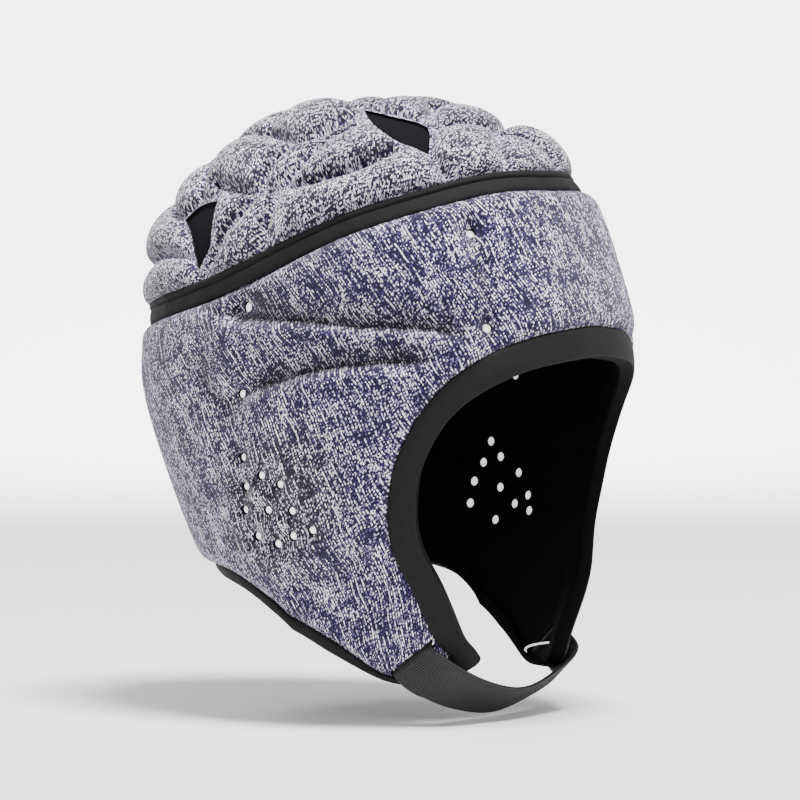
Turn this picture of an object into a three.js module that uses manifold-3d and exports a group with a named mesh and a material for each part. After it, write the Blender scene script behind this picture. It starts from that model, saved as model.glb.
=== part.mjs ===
import * as THREE from 'three';
import Module from 'manifold-3d';

// A soft padded rugby head guard in its worn shape. Millimetres, +Z up, forehead towards -Y,
// the wearer's left towards +X. The origin is the inside top of the crown, where the head sits.

// Sizes of the head form inside the cap
const HEAD_WIDTH = 152;
const HEAD_LENGTH = 190;
const CROWN_HEIGHT = 59;
const CROWN_LEAN = 7.6;
const FLAP_DEPTH = 180;
const WORN_PITCH = THREE.MathUtils.degToRad(17);
const SEAM_WAVE = 6;

// Layers, counted outwards from the head form
const LINING_THICKNESS = 0.8;
const CLEARANCE = 0.3;
const MESH_THICKNESS = 0.5;
const SIDE_PADDING = 7.5;
const FLAP_PADDING = 4;
const CROWN_PADDING = 8.6;
const GROOVE_PADDING = 3.2;
const EDGE_PADDING = 2.4;

// Trim
const BAND_HEIGHT = 11;
const BAND_THICKNESS = 2.4;
const FACE_BINDING_WIDTH = 10.6;
const NAPE_BINDING_WIDTH = 5.4;
const BINDING_THICKNESS = 1.1;
const BINDING_CLEARANCE = 0.4;
const STRAP_WIDTH = 20;
const STRAP_THICKNESS = 1.8;
const STRAP_DROP = 11.5;
const STRAP_REACH = 2;
const STRAP_LAY = 11.5;
const STRAP_LIFT = 1.6;
const STRAP_TURN = 3;
const STRAP_BEND = 1.7;
const SLOT_CLEARANCE = 0.8;
const HOLE_DIAMETER = 3.8;
const SINGLE_MESH_SIZE = 9;
const EAR_MESH_WIDTH = 36.4;
const EAR_MESH_HEIGHT = 48;

// Faceting
const HOLE_SIDES = 6;

const PAD_INSIDE = LINING_THICKNESS + CLEARANCE;
const HALF_WIDTH = HEAD_WIDTH / 2;
const HALF_LENGTH = HEAD_LENGTH / 2;

// Millimetres that one unit of the crown map and one degree round the head stand for
const MAP_UNIT = (CROWN_HEIGHT + HALF_LENGTH) * 0.62;
const DEGREE = HALF_WIDTH * 0.0184;

// Distance from the seam within which its level edges turn square to the head form
const LEVEL_REACH = 14;

// Sections of the head form below the crown seam. Depth is a share of FLAP_DEPTH, width of
// HALF_WIDTH, the front, widest and back places of HALF_LENGTH; power squares the outline.
const SECTIONS = [
  { depth: 0.0, width: 0.928, front: -0.947, widest: 0.053, back: 0.937, power: 2.1 },
  { depth: 0.067, width: 0.967, front: -0.989, widest: 0.053, back: 0.958, power: 2.2 },
  { depth: 0.167, width: 0.993, front: -1.0, widest: 0.063, back: 0.989, power: 2.3 },
  { depth: 0.333, width: 1.0, front: -1.011, widest: 0.095, back: 0.968, power: 2.25 },
  { depth: 0.539, width: 0.961, front: -0.968, widest: 0.179, back: 0.895, power: 2.2 },
  { depth: 0.639, width: 0.921, front: -0.905, widest: 0.232, back: 0.821, power: 2.15 },
  { depth: 0.778, width: 0.829, front: -0.737, widest: 0.295, back: 0.758, power: 2.1 },
  { depth: 0.944, width: 0.697, front: -0.421, widest: 0.347, back: 0.695, power: 2.0 },
  { depth: 1.06, width: 0.62, front: -0.32, widest: 0.37, back: 0.67, power: 2.0 },
];

// How the crown seam waves up and down, from the forehead (0 degrees) to the back (180);
// rise is a share of SEAM_WAVE.
const SEAM = [
  { angle: 0, rise: 0.5 },
  { angle: 21, rise: 0.65 },
  { angle: 43, rise: 0.37 },
  { angle: 63, rise: 0.08 },
  { angle: 90, rise: -0.83 },
  { angle: 104, rise: -0.95 },
  { angle: 125, rise: -0.58 },
  { angle: 145, rise: -0.17 },
  { angle: 180, rise: 0.0 },
];

// Columns of the side panel on one half of the cap: where each starts at the seam, where its
// middle lies, where it meets the lower edge and how many columns of facets follow it. Angles in
// degrees, depths in shares of FLAP_DEPTH.
const PANEL = [
  { top: 0, midAngle: 0, midDepth: 0.19, endAngle: 0, endDepth: 0.383, facets: 2 },
  { top: 26, midAngle: 27, midDepth: 0.2, endAngle: 27, endDepth: 0.4, facets: 2 },
  { top: 43, midAngle: 46, midDepth: 0.235, endAngle: 44.5, endDepth: 0.446, facets: 1 },
  { top: 55, midAngle: 60, midDepth: 0.3, endAngle: 54.5, endDepth: 0.53, facets: 1 },
  { top: 63, midAngle: 69, midDepth: 0.4, endAngle: 57.5, endDepth: 0.615, facets: 1 },
  { top: 69, midAngle: 73.5, midDepth: 0.51, endAngle: 56.5, endDepth: 0.71, facets: 1 },
  { top: 74, midAngle: 75.2, midDepth: 0.6, endAngle: 49.5, endDepth: 0.81, facets: 1 },
  { top: 78, midAngle: 74.2, midDepth: 0.67, endAngle: 39.5, endDepth: 0.91, facets: 1 },
  { top: 81, midAngle: 73.6, midDepth: 0.698, endAngle: 32.5, endDepth: 0.96, facets: 2 },
  { top: 84, midAngle: 74.6, midDepth: 0.705, endAngle: 42, endDepth: 0.985, facets: 1 },
  { top: 87, midAngle: 76.4, midDepth: 0.697, endAngle: 53, endDepth: 0.983, facets: 1 },
  { top: 91, midAngle: 79.4, midDepth: 0.664, endAngle: 65, endDepth: 0.955, facets: 1 },
  { top: 98, midAngle: 86.5, midDepth: 0.575, endAngle: 81, endDepth: 0.865, facets: 2 },
  { top: 109, midAngle: 102, midDepth: 0.44, endAngle: 96, endDepth: 0.755, facets: 2 },
  { top: 124, midAngle: 120, midDepth: 0.35, endAngle: 116, endDepth: 0.665, facets: 2 },
  { top: 148, midAngle: 147, midDepth: 0.31, endAngle: 145, endDepth: 0.61, facets: 2 },
  { top: 180, midAngle: 180, midDepth: 0.29, endAngle: 180, endDepth: 0.59, facets: 0 },
];

// Sewn grooves of the side panel on one half: angle in degrees, depth in shares of FLAP_DEPTH
const SIDE_GROOVES = [
  { name: 'upper fold', sink: 0.5, spread: 6,
    path: [[99, 0.07], [86, 0.14], [67, 0.22], [46, 0.28], [39, 0.32]] },
  { name: 'lower fold', sink: 0.45, spread: 6,
    path: [[94, 0.286], [75, 0.291], [57, 0.322], [48, 0.342]] },
  { name: 'front channel', sink: 0.35, spread: 5,
    path: [[28, 0.02], [31, 0.1], [31, 0.18], [33, 0.3], [34, 0.35]] },
  { name: 'back channel', sink: 0.4, spread: 7,
    path: [[101, 0.12], [103, 0.25], [100, 0.29]] },
  { name: 'ear lower edge', sink: 0.4, spread: 6,
    path: [[66, 0.66], [74, 0.708], [82, 0.71], [88, 0.695]] },
];

// Sewn grooves of the crown on one half, in the flat map of the crown: the seam is the circle of
// radius 1, the first number runs sideways from the middle and the second from front (-) to back.
const CROWN_GROOVES = [
  [[0.53, 0.11], [0.65, -0.04], [0.67, -0.11], [0.69, -0.17]],
  [[0.69, -0.17], [0.69, -0.29], [0.65, -0.4], [0.58, -0.49], [0.49, -0.55]],
  [[0.69, -0.17], [0.78, -0.15], [0.88, -0.11], [1, -0.07]],
  [[0.67, -0.09], [0.75, -0.02], [0.81, 0.06], [0.87, 0.14], [0.95, 0.27]],
  [[0.67, -0.19], [0.61, -0.23], [0.51, -0.28], [0.36, -0.36], [0.24, -0.33], [0.13, -0.28]],
  [[0.66, -0.1], [0.57, -0.11], [0.46, -0.16], [0.4, -0.11], [0.28, 0], [0.1, -0.03], [0, -0.04]],
  [[0.46, -0.16], [0.45, -0.22], [0.38, -0.28], [0.26, -0.32]],
  [[0.13, -0.29], [0.1, -0.2], [0, -0.16]],
  [[0.13, -0.29], [0, -0.33]],
  [[0.23, -0.59], [0.16, -0.54], [0, -0.46]],
  [[0.25, -0.61], [0.12, -0.66], [0, -0.7], [0.11, -0.8], [0.24, -0.95]],
  [[0.41, -0.66], [0.45, -0.72], [0.52, -0.86]],
  [[0.28, 0], [0.23, 0.22], [0.22, 0.44]],
  [[0.54, 0.2], [0.38, 0.2], [0.23, 0.22], [0, 0.22]],
  [[0.55, 0.31], [0.41, 0.41], [0.22, 0.44], [0, 0.46]],
  [[0.78, 0.27], [0.64, 0.44], [0.5, 0.62], [0.24, 0.72], [0, 0.74]],
  [[0.85, 0.25], [0.95, 0.27]],
  [[0.5, 0.62], [0.6, 0.77]],
  [[0.22, 0.73], [0.26, 0.93]],
];

// Leaf-shaped vents of the crown on one half, in the same map
const CROWN_VENTS = [
  { name: 'front vent',
    outline: [[0.13, -0.29], [0.195, -0.39], [0.215, -0.47], [0.225, -0.54], [0.27, -0.59],
      [0.412, -0.66], [0.403, -0.545], [0.363, -0.464], [0.304, -0.397], [0.227, -0.343]] },
  { name: 'back vent',
    outline: [[0.6, 0.106], [0.56, 0.21], [0.551, 0.312], [0.676, 0.258], [0.854, 0.245],
      [0.796, 0.155], [0.7, 0.123]] },
];

// Punched holes. The soft sides lie a little unlike, so each side has its own angle and depth;
// depths are shares of FLAP_DEPTH.
const EAR_HOLES = [
  { right: [95, 0.419], left: [90.5, 0.433] },
  { right: [90, 0.469], left: [88.5, 0.475] },
  { right: [95, 0.481], left: [93, 0.475] },
  { right: [86.5, 0.5], left: [84, 0.525] },
  { right: [96.5, 0.528], left: [96.5, 0.511] },
  { right: [89.5, 0.544], left: [88.5, 0.544] },
  { right: [84.5, 0.561], left: [81, 0.583] },
  { right: [93.5, 0.589], left: [98.5, 0.558] },
  { right: [85, 0.611], left: [84.5, 0.592] },
  { right: [80.5, 0.611], left: [80, 0.619] },
  { right: [88.5, 0.617], left: [89, 0.614] },
];
const SINGLE_HOLES = [
  { name: 'upper_back', right: [90, 0.085], left: [90, 0.085] },
  { name: 'lower_back', right: [93.5, 0.286], left: [84, 0.303] },
  { name: 'upper_front', right: [31, 0.1], left: [31, 0.1] },
  { name: 'lower_front', right: [33, 0.297], left: [33, 0.297] },
];
const EAR_CENTRE = [89, 0.522];

// The slot in each flap that the chin strap comes through: its middle, and a place behind it that
// it points away from
const SLOT = { angle: 55.5, depth: 0.926, rearAngle: 62, rearDepth: 0.945 };

const wasm = await Module();
wasm.setup();

const radians = THREE.MathUtils.degToRad;

// Smooth reading of one column of a table whose rows are ordered by key
function readTable(table, key, column, at) {
  const last = table.length - 1;
  const x = THREE.MathUtils.clamp(at, table[0][key], table[last][key]);
  let i = 0;
  while (i < last - 1 && x > table[i + 1][key]) i += 1;
  const slope = (k) => {
    const before = table[Math.max(k - 1, 0)];
    const after = table[Math.min(k + 1, last)];
    return (after[column] - before[column]) / (after[key] - before[key]);
  };
  const span = table[i + 1][key] - table[i][key];
  const s = (x - table[i][key]) / span;
  const s2 = s * s;
  const s3 = s2 * s;
  return (2 * s3 - 3 * s2 + 1) * table[i][column] + (s3 - 2 * s2 + s) * span * slope(i)
    + (3 * s2 - 2 * s3) * table[i + 1][column] + (s3 - s2) * span * slope(i + 1);
}

const signedPower = (value, power) => Math.sign(value) * Math.abs(value) ** power;

// Outline of the head form at one depth (a share of FLAP_DEPTH) and angle
function outline(angle, depth) {
  const read = (column) => readTable(SECTIONS, 'depth', column, depth);
  const power = 2 / read('power');
  const s = signedPower(Math.sin(radians(angle)), power);
  const c = signedPower(Math.cos(radians(angle)), power);
  const widest = read('widest');
  const reach = c > 0 ? widest - read('front') : read('back') - widest;
  return new THREE.Vector2(s * read('width') * HALF_WIDTH, (widest - reach * c) * HALF_LENGTH);
}

const seamRise = (angle) => {
  const folded = Math.abs(((angle + 540) % 360) - 180);
  return SEAM_WAVE * readTable(SEAM, 'angle', 'rise', folded);
};

function sideBase(angle, depth) {
  const at = outline(angle, depth);
  const fade = 1 - THREE.MathUtils.smoothstep(depth, 0, 0.25);
  return new THREE.Vector3(at.x, at.y, seamRise(angle) * fade - depth * FLAP_DEPTH);
}

// Dome of the crown: ring 0 is its top, ring 1 the seam
function crownBase(angle, ring) {
  const foot = outline(angle, 0);
  const middle = readTable(SECTIONS, 'depth', 'widest', 0) * HALF_LENGTH;
  const lift = Math.cos(ring * Math.PI / 2) ** (2 / 1.8);
  const spread = Math.sin(ring * Math.PI / 2) ** (2 / 1.8);
  const y = middle + (foot.y - middle) * spread + CROWN_LEAN * lift;
  return new THREE.Vector3(foot.x * spread, y, CROWN_HEIGHT * lift + seamRise(angle) * (1 - lift));
}

// Which way is square off the head form. At the seam it lies level, so that the crown and the side
// meet face to face; fromSeam is the distance from it in shares of LEVEL_REACH.
function squareOff(base, angle, along, fromSeam) {
  const sideways = base(angle + 0.5, along).sub(base(angle - 0.5, along));
  const downwards = base(angle, along + 0.004).sub(base(angle, along - 0.004));
  const normal = downwards.cross(sideways).normalize();
  const rim = outline(angle + 0.5, 0).sub(outline(angle - 0.5, 0));
  const level = new THREE.Vector3(-rim.y, rim.x, 0).normalize();
  if (level.dot(normal) < 0) level.negate();
  return level.lerp(normal, THREE.MathUtils.smoothstep(fromSeam, 0, 1)).normalize();
}

function sideAt(angle, depth, offset) {
  const normal = squareOff(sideBase, angle, Math.max(depth, 0.004), depth * FLAP_DEPTH / LEVEL_REACH);
  return { point: sideBase(angle, depth).addScaledVector(normal, offset), normal };
}

const sidePoint = (angle, depth, offset) => sideAt(angle, depth, offset).point;

function crownPoint(angle, ring, offset) {
  if (ring < 1e-6) return new THREE.Vector3(0, crownBase(0, 0).y, CROWN_HEIGHT + offset);
  const normal = squareOff(crownBase, angle, Math.min(ring, 0.99), (1 - ring) * MAP_UNIT / LEVEL_REACH);
  return crownBase(angle, ring).addScaledVector(normal, offset);
}

// Distance of a point from a path of corners, all in one plane
function distanceTo(path, x, y, scaleX, scaleY) {
  let best = Infinity;
  for (let i = 0; i + 1 < path.length; i += 1) {
    const ax = path[i][0] * scaleX;
    const ay = path[i][1] * scaleY;
    const dx = path[i + 1][0] * scaleX - ax;
    const dy = path[i + 1][1] * scaleY - ay;
    const px = x * scaleX - ax;
    const py = y * scaleY - ay;
    const s = THREE.MathUtils.clamp((px * dx + py * dy) / (dx * dx + dy * dy), 0, 1);
    best = Math.min(best, Math.hypot(px - s * dx, py - s * dy));
  }
  return best;
}

const swell = (distance, reach) => Math.sqrt(1 - (1 - Math.min(distance / reach, 1)) ** 2);

// Padding of the crown: round pods between sewn grooves, thin along the vents and the seam
function crownPadding(angle, ring) {
  const x = Math.abs(ring * Math.sin(radians(angle)));
  const y = -ring * Math.cos(radians(angle));
  const near = (path) => distanceTo(path, x, y, MAP_UNIT, MAP_UNIT);
  const groove = Math.min(...CROWN_GROOVES.map(near));
  const vent = Math.min(...CROWN_VENTS.map((v) => near([...v.outline, v.outline[0]])));
  const seam = Math.max((1 - ring) * MAP_UNIT - BAND_HEIGHT * 0.55, 0);
  const pod = Math.min(swell(groove, 10), swell(vent, 13), swell(seam, 7));
  const floor = Math.min(EDGE_PADDING + seam * 0.5, GROOVE_PADDING);
  return floor + (CROWN_PADDING - floor) * pod;
}

// Padding of the side panel: thin where the band and the bindings sit, sunk at the grooves
function sidePadding(angle, depth, fromSeam, fromEdge, bindingWidth) {
  const side = Math.abs(angle);
  const flap = THREE.MathUtils.smoothstep(depth, 0.62, 0.78);
  const full = THREE.MathUtils.lerp(SIDE_PADDING, FLAP_PADDING, flap);
  let sunk = 0;
  for (const groove of SIDE_GROOVES) {
    const away = distanceTo(groove.path, side, depth, DEGREE, FLAP_DEPTH);
    sunk = Math.max(sunk, groove.sink * Math.exp(-((away / groove.spread) ** 2)));
  }
  const seam = swell(Math.max(fromSeam - BAND_HEIGHT * 0.55, 0), 9);
  const edge = swell(Math.max(fromEdge - bindingWidth, 0), 12);
  return EDGE_PADDING + (full - EDGE_PADDING) * Math.min(seam, edge) * (1 - sunk);
}

// Where the face binding gives way to the nape binding, counted in rows of PANEL
const FACE_END = 9.4;

const PANEL_ROWS = PANEL.map((row, index) => ({ ...row, index }));

// Column of the side panel at a place round the half ring. A share of its length gives an angle
// and a depth: share 0 is the seam, 1 the lower edge.
function panelColumn(place, sign) {
  const read = (column) => readTable(PANEL_ROWS, 'index', column, place);
  const top = read('top');
  const mid = [read('midAngle'), read('midDepth')];
  const end = [read('endAngle'), read('endDepth')];
  const bend = (t) => {
    const a = (1 - t) * (1 - 2 * t);
    const b = 4 * t * (1 - t);
    const c = t * (2 * t - 1);
    return [sign * (a * top + b * mid[0] + c * end[0]), b * mid[1] + c * end[1]];
  };
  const steps = 24;
  const run = [0];
  for (let i = 0; i < steps; i += 1) {
    run.push(run[i] + sideBase(...bend(i / steps)).distanceTo(sideBase(...bend((i + 1) / steps))));
  }
  const length = run[steps];
  const at = (share) => {
    let i = 0;
    while (i < steps - 1 && share * length > run[i + 1]) i += 1;
    return bend((i + (share * length - run[i]) / (run[i + 1] - run[i])) / steps);
  };
  const face = place < FACE_END;
  const binding = face ? FACE_BINDING_WIDTH : NAPE_BINDING_WIDTH;
  return { at, length, face, binding };
}

// Columns round the whole ring: the wearer's left half from front to back, then the right half home
function panelColumns() {
  const places = PANEL.flatMap(({ facets }, row) => [...Array(facets).keys()].map((i) => row + i / facets));
  places.push(PANEL.length - 1);
  const left = places.map((place) => panelColumn(place, 1));
  const right = places.slice(1, -1).reverse().map((place) => panelColumn(place, -1));
  return [...left, ...right];
}

// Which way the quads beside a column are split: the two halves of the cap mirror each other, and
// the split turns at the tip of each flap, where the columns lean the other way
function splitAt(c) {
  const left = c < COLUMNS.length / 2;
  const column = COLUMNS[left ? c : COLUMNS.length - 1 - c];
  return left === column.face;
}

// Shares of a column at which rows of facets lie. Both skins have rows beside the band and the
// binding; the padded skin has two more, where its padding starts to swell.
function rowShares({ length, binding }, between, padded) {
  const head = [0, BAND_HEIGHT * 0.55 / length];
  const tail = [1 - binding / length, 1];
  if (padded) {
    head.push((BAND_HEIGHT * 0.55 + 4) / length);
    tail.unshift(1 - (binding + 6) / length);
  }
  const middle = [...Array(between).keys()].map(
    (i) => THREE.MathUtils.lerp(head.at(-1), tail[0], (i + 1) / (between + 1)));
  return [...head, ...middle, ...tail];
}

// The two triangles of a quad of a grid. Inner skins are split along the same lines as the outer
// skins that they mirror, so that neighbouring layers keep their gap.
const quad = (a, b, c, d, mirrored) => (mirrored ? [a, b, d, b, c, d] : [a, b, c, a, c, d]);

// A closed solid from a grid of points, rows of equal length; closed round or capped at its ends
function gridSolid(grid, closedRound, outerRows = Infinity, split = () => false) {
  const rows = grid.length;
  const columns = grid[0].length;
  const positions = grid.flat().flatMap((p) => [p.x, p.y, p.z]);
  const index = [];
  const id = (r, c) => (r % rows) * columns + (c % columns);
  for (let r = 0; r < rows; r += 1) {
    for (let c = 0; c < (closedRound ? columns : columns - 1); c += 1) {
      index.push(...quad(id(r, c), id(r, c + 1), id(r + 1, c + 1), id(r + 1, c),
        (r >= outerRows) !== split(c)));
    }
  }
  if (!closedRound) {
    const section = (c) => grid.map((row) => row[c]);
    for (const [c, turn] of [[0, 1], [columns - 1, -1]]) {
      for (const [i, j, k] of capFaces(section(c))) {
        index.push(...(turn > 0 ? [id(i, c), id(j, c), id(k, c)] : [id(i, c), id(k, c), id(j, c)]));
      }
    }
  }
  return outwards(positions, index);
}

// Triangles that fill a flat closed outline in space
function capFaces(points) {
  const centre = points.reduce((sum, p) => sum.add(p), new THREE.Vector3()).divideScalar(points.length);
  const normal = new THREE.Vector3();
  points.forEach((p, i) => {
    const q = points[(i + 1) % points.length];
    normal.add(p.clone().sub(centre).cross(q.clone().sub(centre)));
  });
  normal.normalize();
  const right = points[0].clone().sub(centre).projectOnPlane(normal).normalize();
  const up = normal.clone().cross(right);
  const flat = points.map((p) => {
    const d = p.clone().sub(centre);
    return new THREE.Vector2(d.dot(right), d.dot(up));
  });
  return THREE.ShapeUtils.triangulateShape(flat, []);
}

// Geometry whose faces are turned to face out, told by the sign of the volume
function outwards(positions, index) {
  let volume = 0;
  const p = (i) => new THREE.Vector3(positions[3 * i], positions[3 * i + 1], positions[3 * i + 2]);
  for (let i = 0; i < index.length; i += 3) {
    volume += p(index[i]).dot(p(index[i + 1]).cross(p(index[i + 2])));
  }
  if (volume < 0) {
    for (let i = 0; i < index.length; i += 3) {
      [index[i + 1], index[i + 2]] = [index[i + 2], index[i + 1]];
    }
  }
  const geometry = new THREE.BufferGeometry();
  geometry.setAttribute('position', new THREE.Float32BufferAttribute(positions, 3));
  geometry.setIndex(index);
  return geometry;
}

// A layer with an outer and an inner skin that meet round the lower edge and at the top or seam
function layerSolid(outerRows, innerRows, apexOuter, apexInner) {
  if (!apexOuter) return gridSolid([...outerRows, ...innerRows.reverse()], true, outerRows.length, splitAt);
  const grid = [...outerRows, ...innerRows.reverse()];
  const columns = grid[0].length;
  const positions = grid.flat().flatMap((p) => [p.x, p.y, p.z]);
  const outer = positions.length / 3;
  positions.push(apexOuter.x, apexOuter.y, apexOuter.z, apexInner.x, apexInner.y, apexInner.z);
  const index = [];
  const id = (r, c) => r * columns + (c % columns);
  for (let c = 0; c < columns; c += 1) {
    index.push(outer, id(0, c + 1), id(0, c));
    index.push(outer + 1, id(grid.length - 1, c), id(grid.length - 1, c + 1));
    for (let r = 0; r + 1 < grid.length; r += 1) {
      index.push(...quad(id(r, c), id(r, c + 1), id(r + 1, c + 1), id(r + 1, c),
        (r >= outerRows.length) !== splitAt(c)));
    }
  }
  return outwards(positions, index);
}

function toManifold(geometry) {
  const position = geometry.getAttribute('position');
  const source = geometry.index ? Array.from(geometry.index.array) : [...Array(position.count).keys()];
  const seen = new Map();
  const vertProperties = [];
  const place = (i) => {
    const p = [position.getX(i), position.getY(i), position.getZ(i)];
    const key = p.map((v) => Math.round(v * 1e4)).join(' ');
    if (!seen.has(key)) {
      seen.set(key, vertProperties.length / 3);
      vertProperties.push(...p);
    }
    return seen.get(key);
  };
  const triVerts = [];
  for (let i = 0; i < source.length; i += 3) {
    const t = [place(source[i]), place(source[i + 1]), place(source[i + 2])];
    if (t[0] !== t[1] && t[1] !== t[2] && t[0] !== t[2]) triVerts.push(...t);
  }
  return new wasm.Manifold(new wasm.Mesh({
    numProp: 3,
    vertProperties: new Float32Array(vertProperties),
    triVerts: new Uint32Array(triVerts),
  }));
}

// Cuts a list of solids out of a geometry
function cutOut(geometry, cutters) {
  let solid = toManifold(geometry);
  for (const cutter of cutters) solid = solid.subtract(toManifold(cutter));
  const mesh = solid.getMesh();
  const result = new THREE.BufferGeometry();
  result.setAttribute('position', new THREE.Float32BufferAttribute(mesh.vertProperties, 3));
  result.setIndex(Array.from(mesh.triVerts));
  return result;
}

// Punch for a round hole, square to the head form
function holePunch(angle, depth) {
  const { point, normal } = sideAt(angle, depth, 4);
  const punch = new THREE.CylinderGeometry(HOLE_DIAMETER / 2, HOLE_DIAMETER / 2, 26, HOLE_SIDES);
  const turn = new THREE.Quaternion().setFromUnitVectors(new THREE.Vector3(0, 1, 0), normal);
  punch.applyQuaternion(turn);
  punch.translate(point.x, point.y, point.z);
  return punch;
}

function ventPunch(vent, sign) {
  const place = ([x, y], offset) => {
    const angle = THREE.MathUtils.radToDeg(Math.atan2(sign * x, -y));
    return crownPoint(angle, Math.hypot(x, y), offset);
  };
  const grid = [-4, 5, 18].map((offset) => vent.outline.map((corner) => place(corner, offset)));
  const columns = grid[0].length;
  const positions = grid.flat().flatMap((p) => [p.x, p.y, p.z]);
  const index = [];
  for (let c = 0; c < columns; c += 1) {
    for (let r = 0; r < 2; r += 1) {
      const [a, b] = [r * columns + c, r * columns + (c + 1) % columns];
      index.push(a, b, b + columns, a, b + columns, a + columns);
    }
  }
  const top = 2 * columns;
  for (const [i, j, k] of capFaces(grid[0])) index.push(k, j, i, i + top, j + top, k + top);
  return outwards(positions, index);
}

// Frame of a flap's slot: its middle, the direction along it (forwards), outwards and down the flap
function slotFrame(sign) {
  const { point, normal } = sideAt(sign * SLOT.angle, SLOT.depth, 0);
  const rear = sidePoint(sign * SLOT.rearAngle, SLOT.rearDepth, 0);
  const forwards = point.clone().sub(rear).projectOnPlane(normal).normalize();
  const down = forwards.clone().cross(normal).normalize();
  if (down.z > 0) down.negate();
  return { point, normal, forwards, down };
}

function slotPunch(sign) {
  const { point, normal, forwards, down } = slotFrame(sign);
  const punch = new THREE.BoxGeometry(
    STRAP_WIDTH + 2 * SLOT_CLEARANCE, STRAP_THICKNESS + 2 * SLOT_CLEARANCE, 24);
  const side = down.clone().cross(normal).normalize();
  punch.applyMatrix4(new THREE.Matrix4().makeBasis(side, down, normal).setPosition(point));
  return punch;
}

// A patch of the head form between two offsets, its size in degrees and in shares of depth
function patchSolid(angle, depth, halfAngle, halfDepth, from, to, cuts) {
  const shares = [...Array(cuts + 1).keys()].map((i) => 2 * i / cuts - 1);
  const skin = (offset) => shares.map((down) => shares.map(
    (across) => sidePoint(angle + across * halfAngle, depth + down * halfDepth, offset)));
  return patchBetween(skin(to), skin(from));
}

function patchBetween(outer, inner) {
  const rows = outer.length;
  const columns = outer[0].length;
  const count = rows * columns;
  const positions = [...outer.flat(), ...inner.flat()].flatMap((p) => [p.x, p.y, p.z]);
  const index = [];
  const id = (r, c) => r * columns + c;
  for (let r = 0; r + 1 < rows; r += 1) {
    for (let c = 0; c + 1 < columns; c += 1) {
      const faces = quad(id(r, c), id(r, c + 1), id(r + 1, c + 1), id(r + 1, c), false);
      index.push(...faces, ...faces.map((v) => v + count).reverse());
    }
  }
  const rim = [];
  for (let c = 0; c + 1 < columns; c += 1) rim.push(id(0, c));
  for (let r = 0; r + 1 < rows; r += 1) rim.push(id(r, columns - 1));
  for (let c = columns - 1; c > 0; c -= 1) rim.push(id(rows - 1, c));
  for (let r = rows - 1; r > 0; r -= 1) rim.push(id(r, 0));
  rim.forEach((a, i) => {
    const b = rim[(i + 1) % rim.length];
    index.push(a, b + count, b, a, a + count, b + count);
  });
  return outwards(positions, index);
}

// Places of the white mesh behind the holes
function meshPatches() {
  const patches = [];
  for (const [side, sign] of [['left', 1], ['right', -1]]) {
    patches.push({ name: `ear_mesh_${side}`, angle: sign * EAR_CENTRE[0], depth: EAR_CENTRE[1],
      halfAngle: EAR_MESH_WIDTH / 2 / DEGREE, halfDepth: EAR_MESH_HEIGHT / 2 / FLAP_DEPTH, cuts: 3 });
    for (const hole of SINGLE_HOLES) {
      const [angle, depth] = hole[side];
      patches.push({ name: `hole_mesh_${hole.name}_${side}`, angle: sign * angle, depth,
        halfAngle: SINGLE_MESH_SIZE / 2 / DEGREE, halfDepth: SINGLE_MESH_SIZE / 2 / FLAP_DEPTH, cuts: 1 });
    }
  }
  return patches;
}

function meshPatch(patch, from, to, margin) {
  const halfAngle = patch.halfAngle + margin / DEGREE;
  const halfDepth = patch.halfDepth + margin / FLAP_DEPTH;
  return patchSolid(patch.angle, patch.depth, halfAngle, halfDepth, from, to, patch.cuts);
}

function allPunches() {
  const punches = [];
  for (const [side, sign] of [['left', 1], ['right', -1]]) {
    for (const hole of [...EAR_HOLES, ...SINGLE_HOLES]) {
      punches.push(holePunch(sign * hole[side][0], hole[side][1]));
    }
    punches.push(slotPunch(sign));
  }
  return punches;
}

// The side panel between a constant inner offset and an outer one that may vary
function sidePanel(inside, outside, padded, punches) {
  const start = CLEARANCE / 2;
  const skin = (between, swollen, offset) => {
    const columns = COLUMNS.map((column) => rowShares(column, between, swollen).map((share) => {
      const from = Math.max(share, start / column.length);
      const [angle, depth] = column.at(from);
      const edges = [from * column.length, (1 - share) * column.length];
      return sidePoint(angle, depth, offset(angle, depth, ...edges, column));
    }));
    return columns[0].map((_, r) => columns.map((points) => points[r]));
  };
  const outer = padded ? skin(5, true, outside) : skin(2, false, outside);
  const inner = skin(2, false, () => inside);
  return cutOut(layerSolid(outer, inner), punches);
}

// Crown layer: rings from the top down to the seam
function crownLayer(inside, outside, outerRings, innerRings, punches) {
  const last = 1 - CLEARANCE / 2 / MAP_UNIT;
  const thin = 1 - BAND_HEIGHT * 0.55 / MAP_UNIT;
  const rings = (count) => [...Array(count).keys()].map((i) => thin * (i + 1) / count).concat(last);
  const skin = (count, offset) => rings(count).map(
    (ring) => ANGLES.map((angle) => crownPoint(angle, ring, offset(angle, ring))));
  const outer = skin(outerRings, outside);
  const inner = skin(innerRings, () => inside);
  const solid = layerSolid(outer, inner, crownPoint(0, 0, outside(0, 0)), crownPoint(0, 0, inside));
  return cutOut(solid, punches);
}

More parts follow.
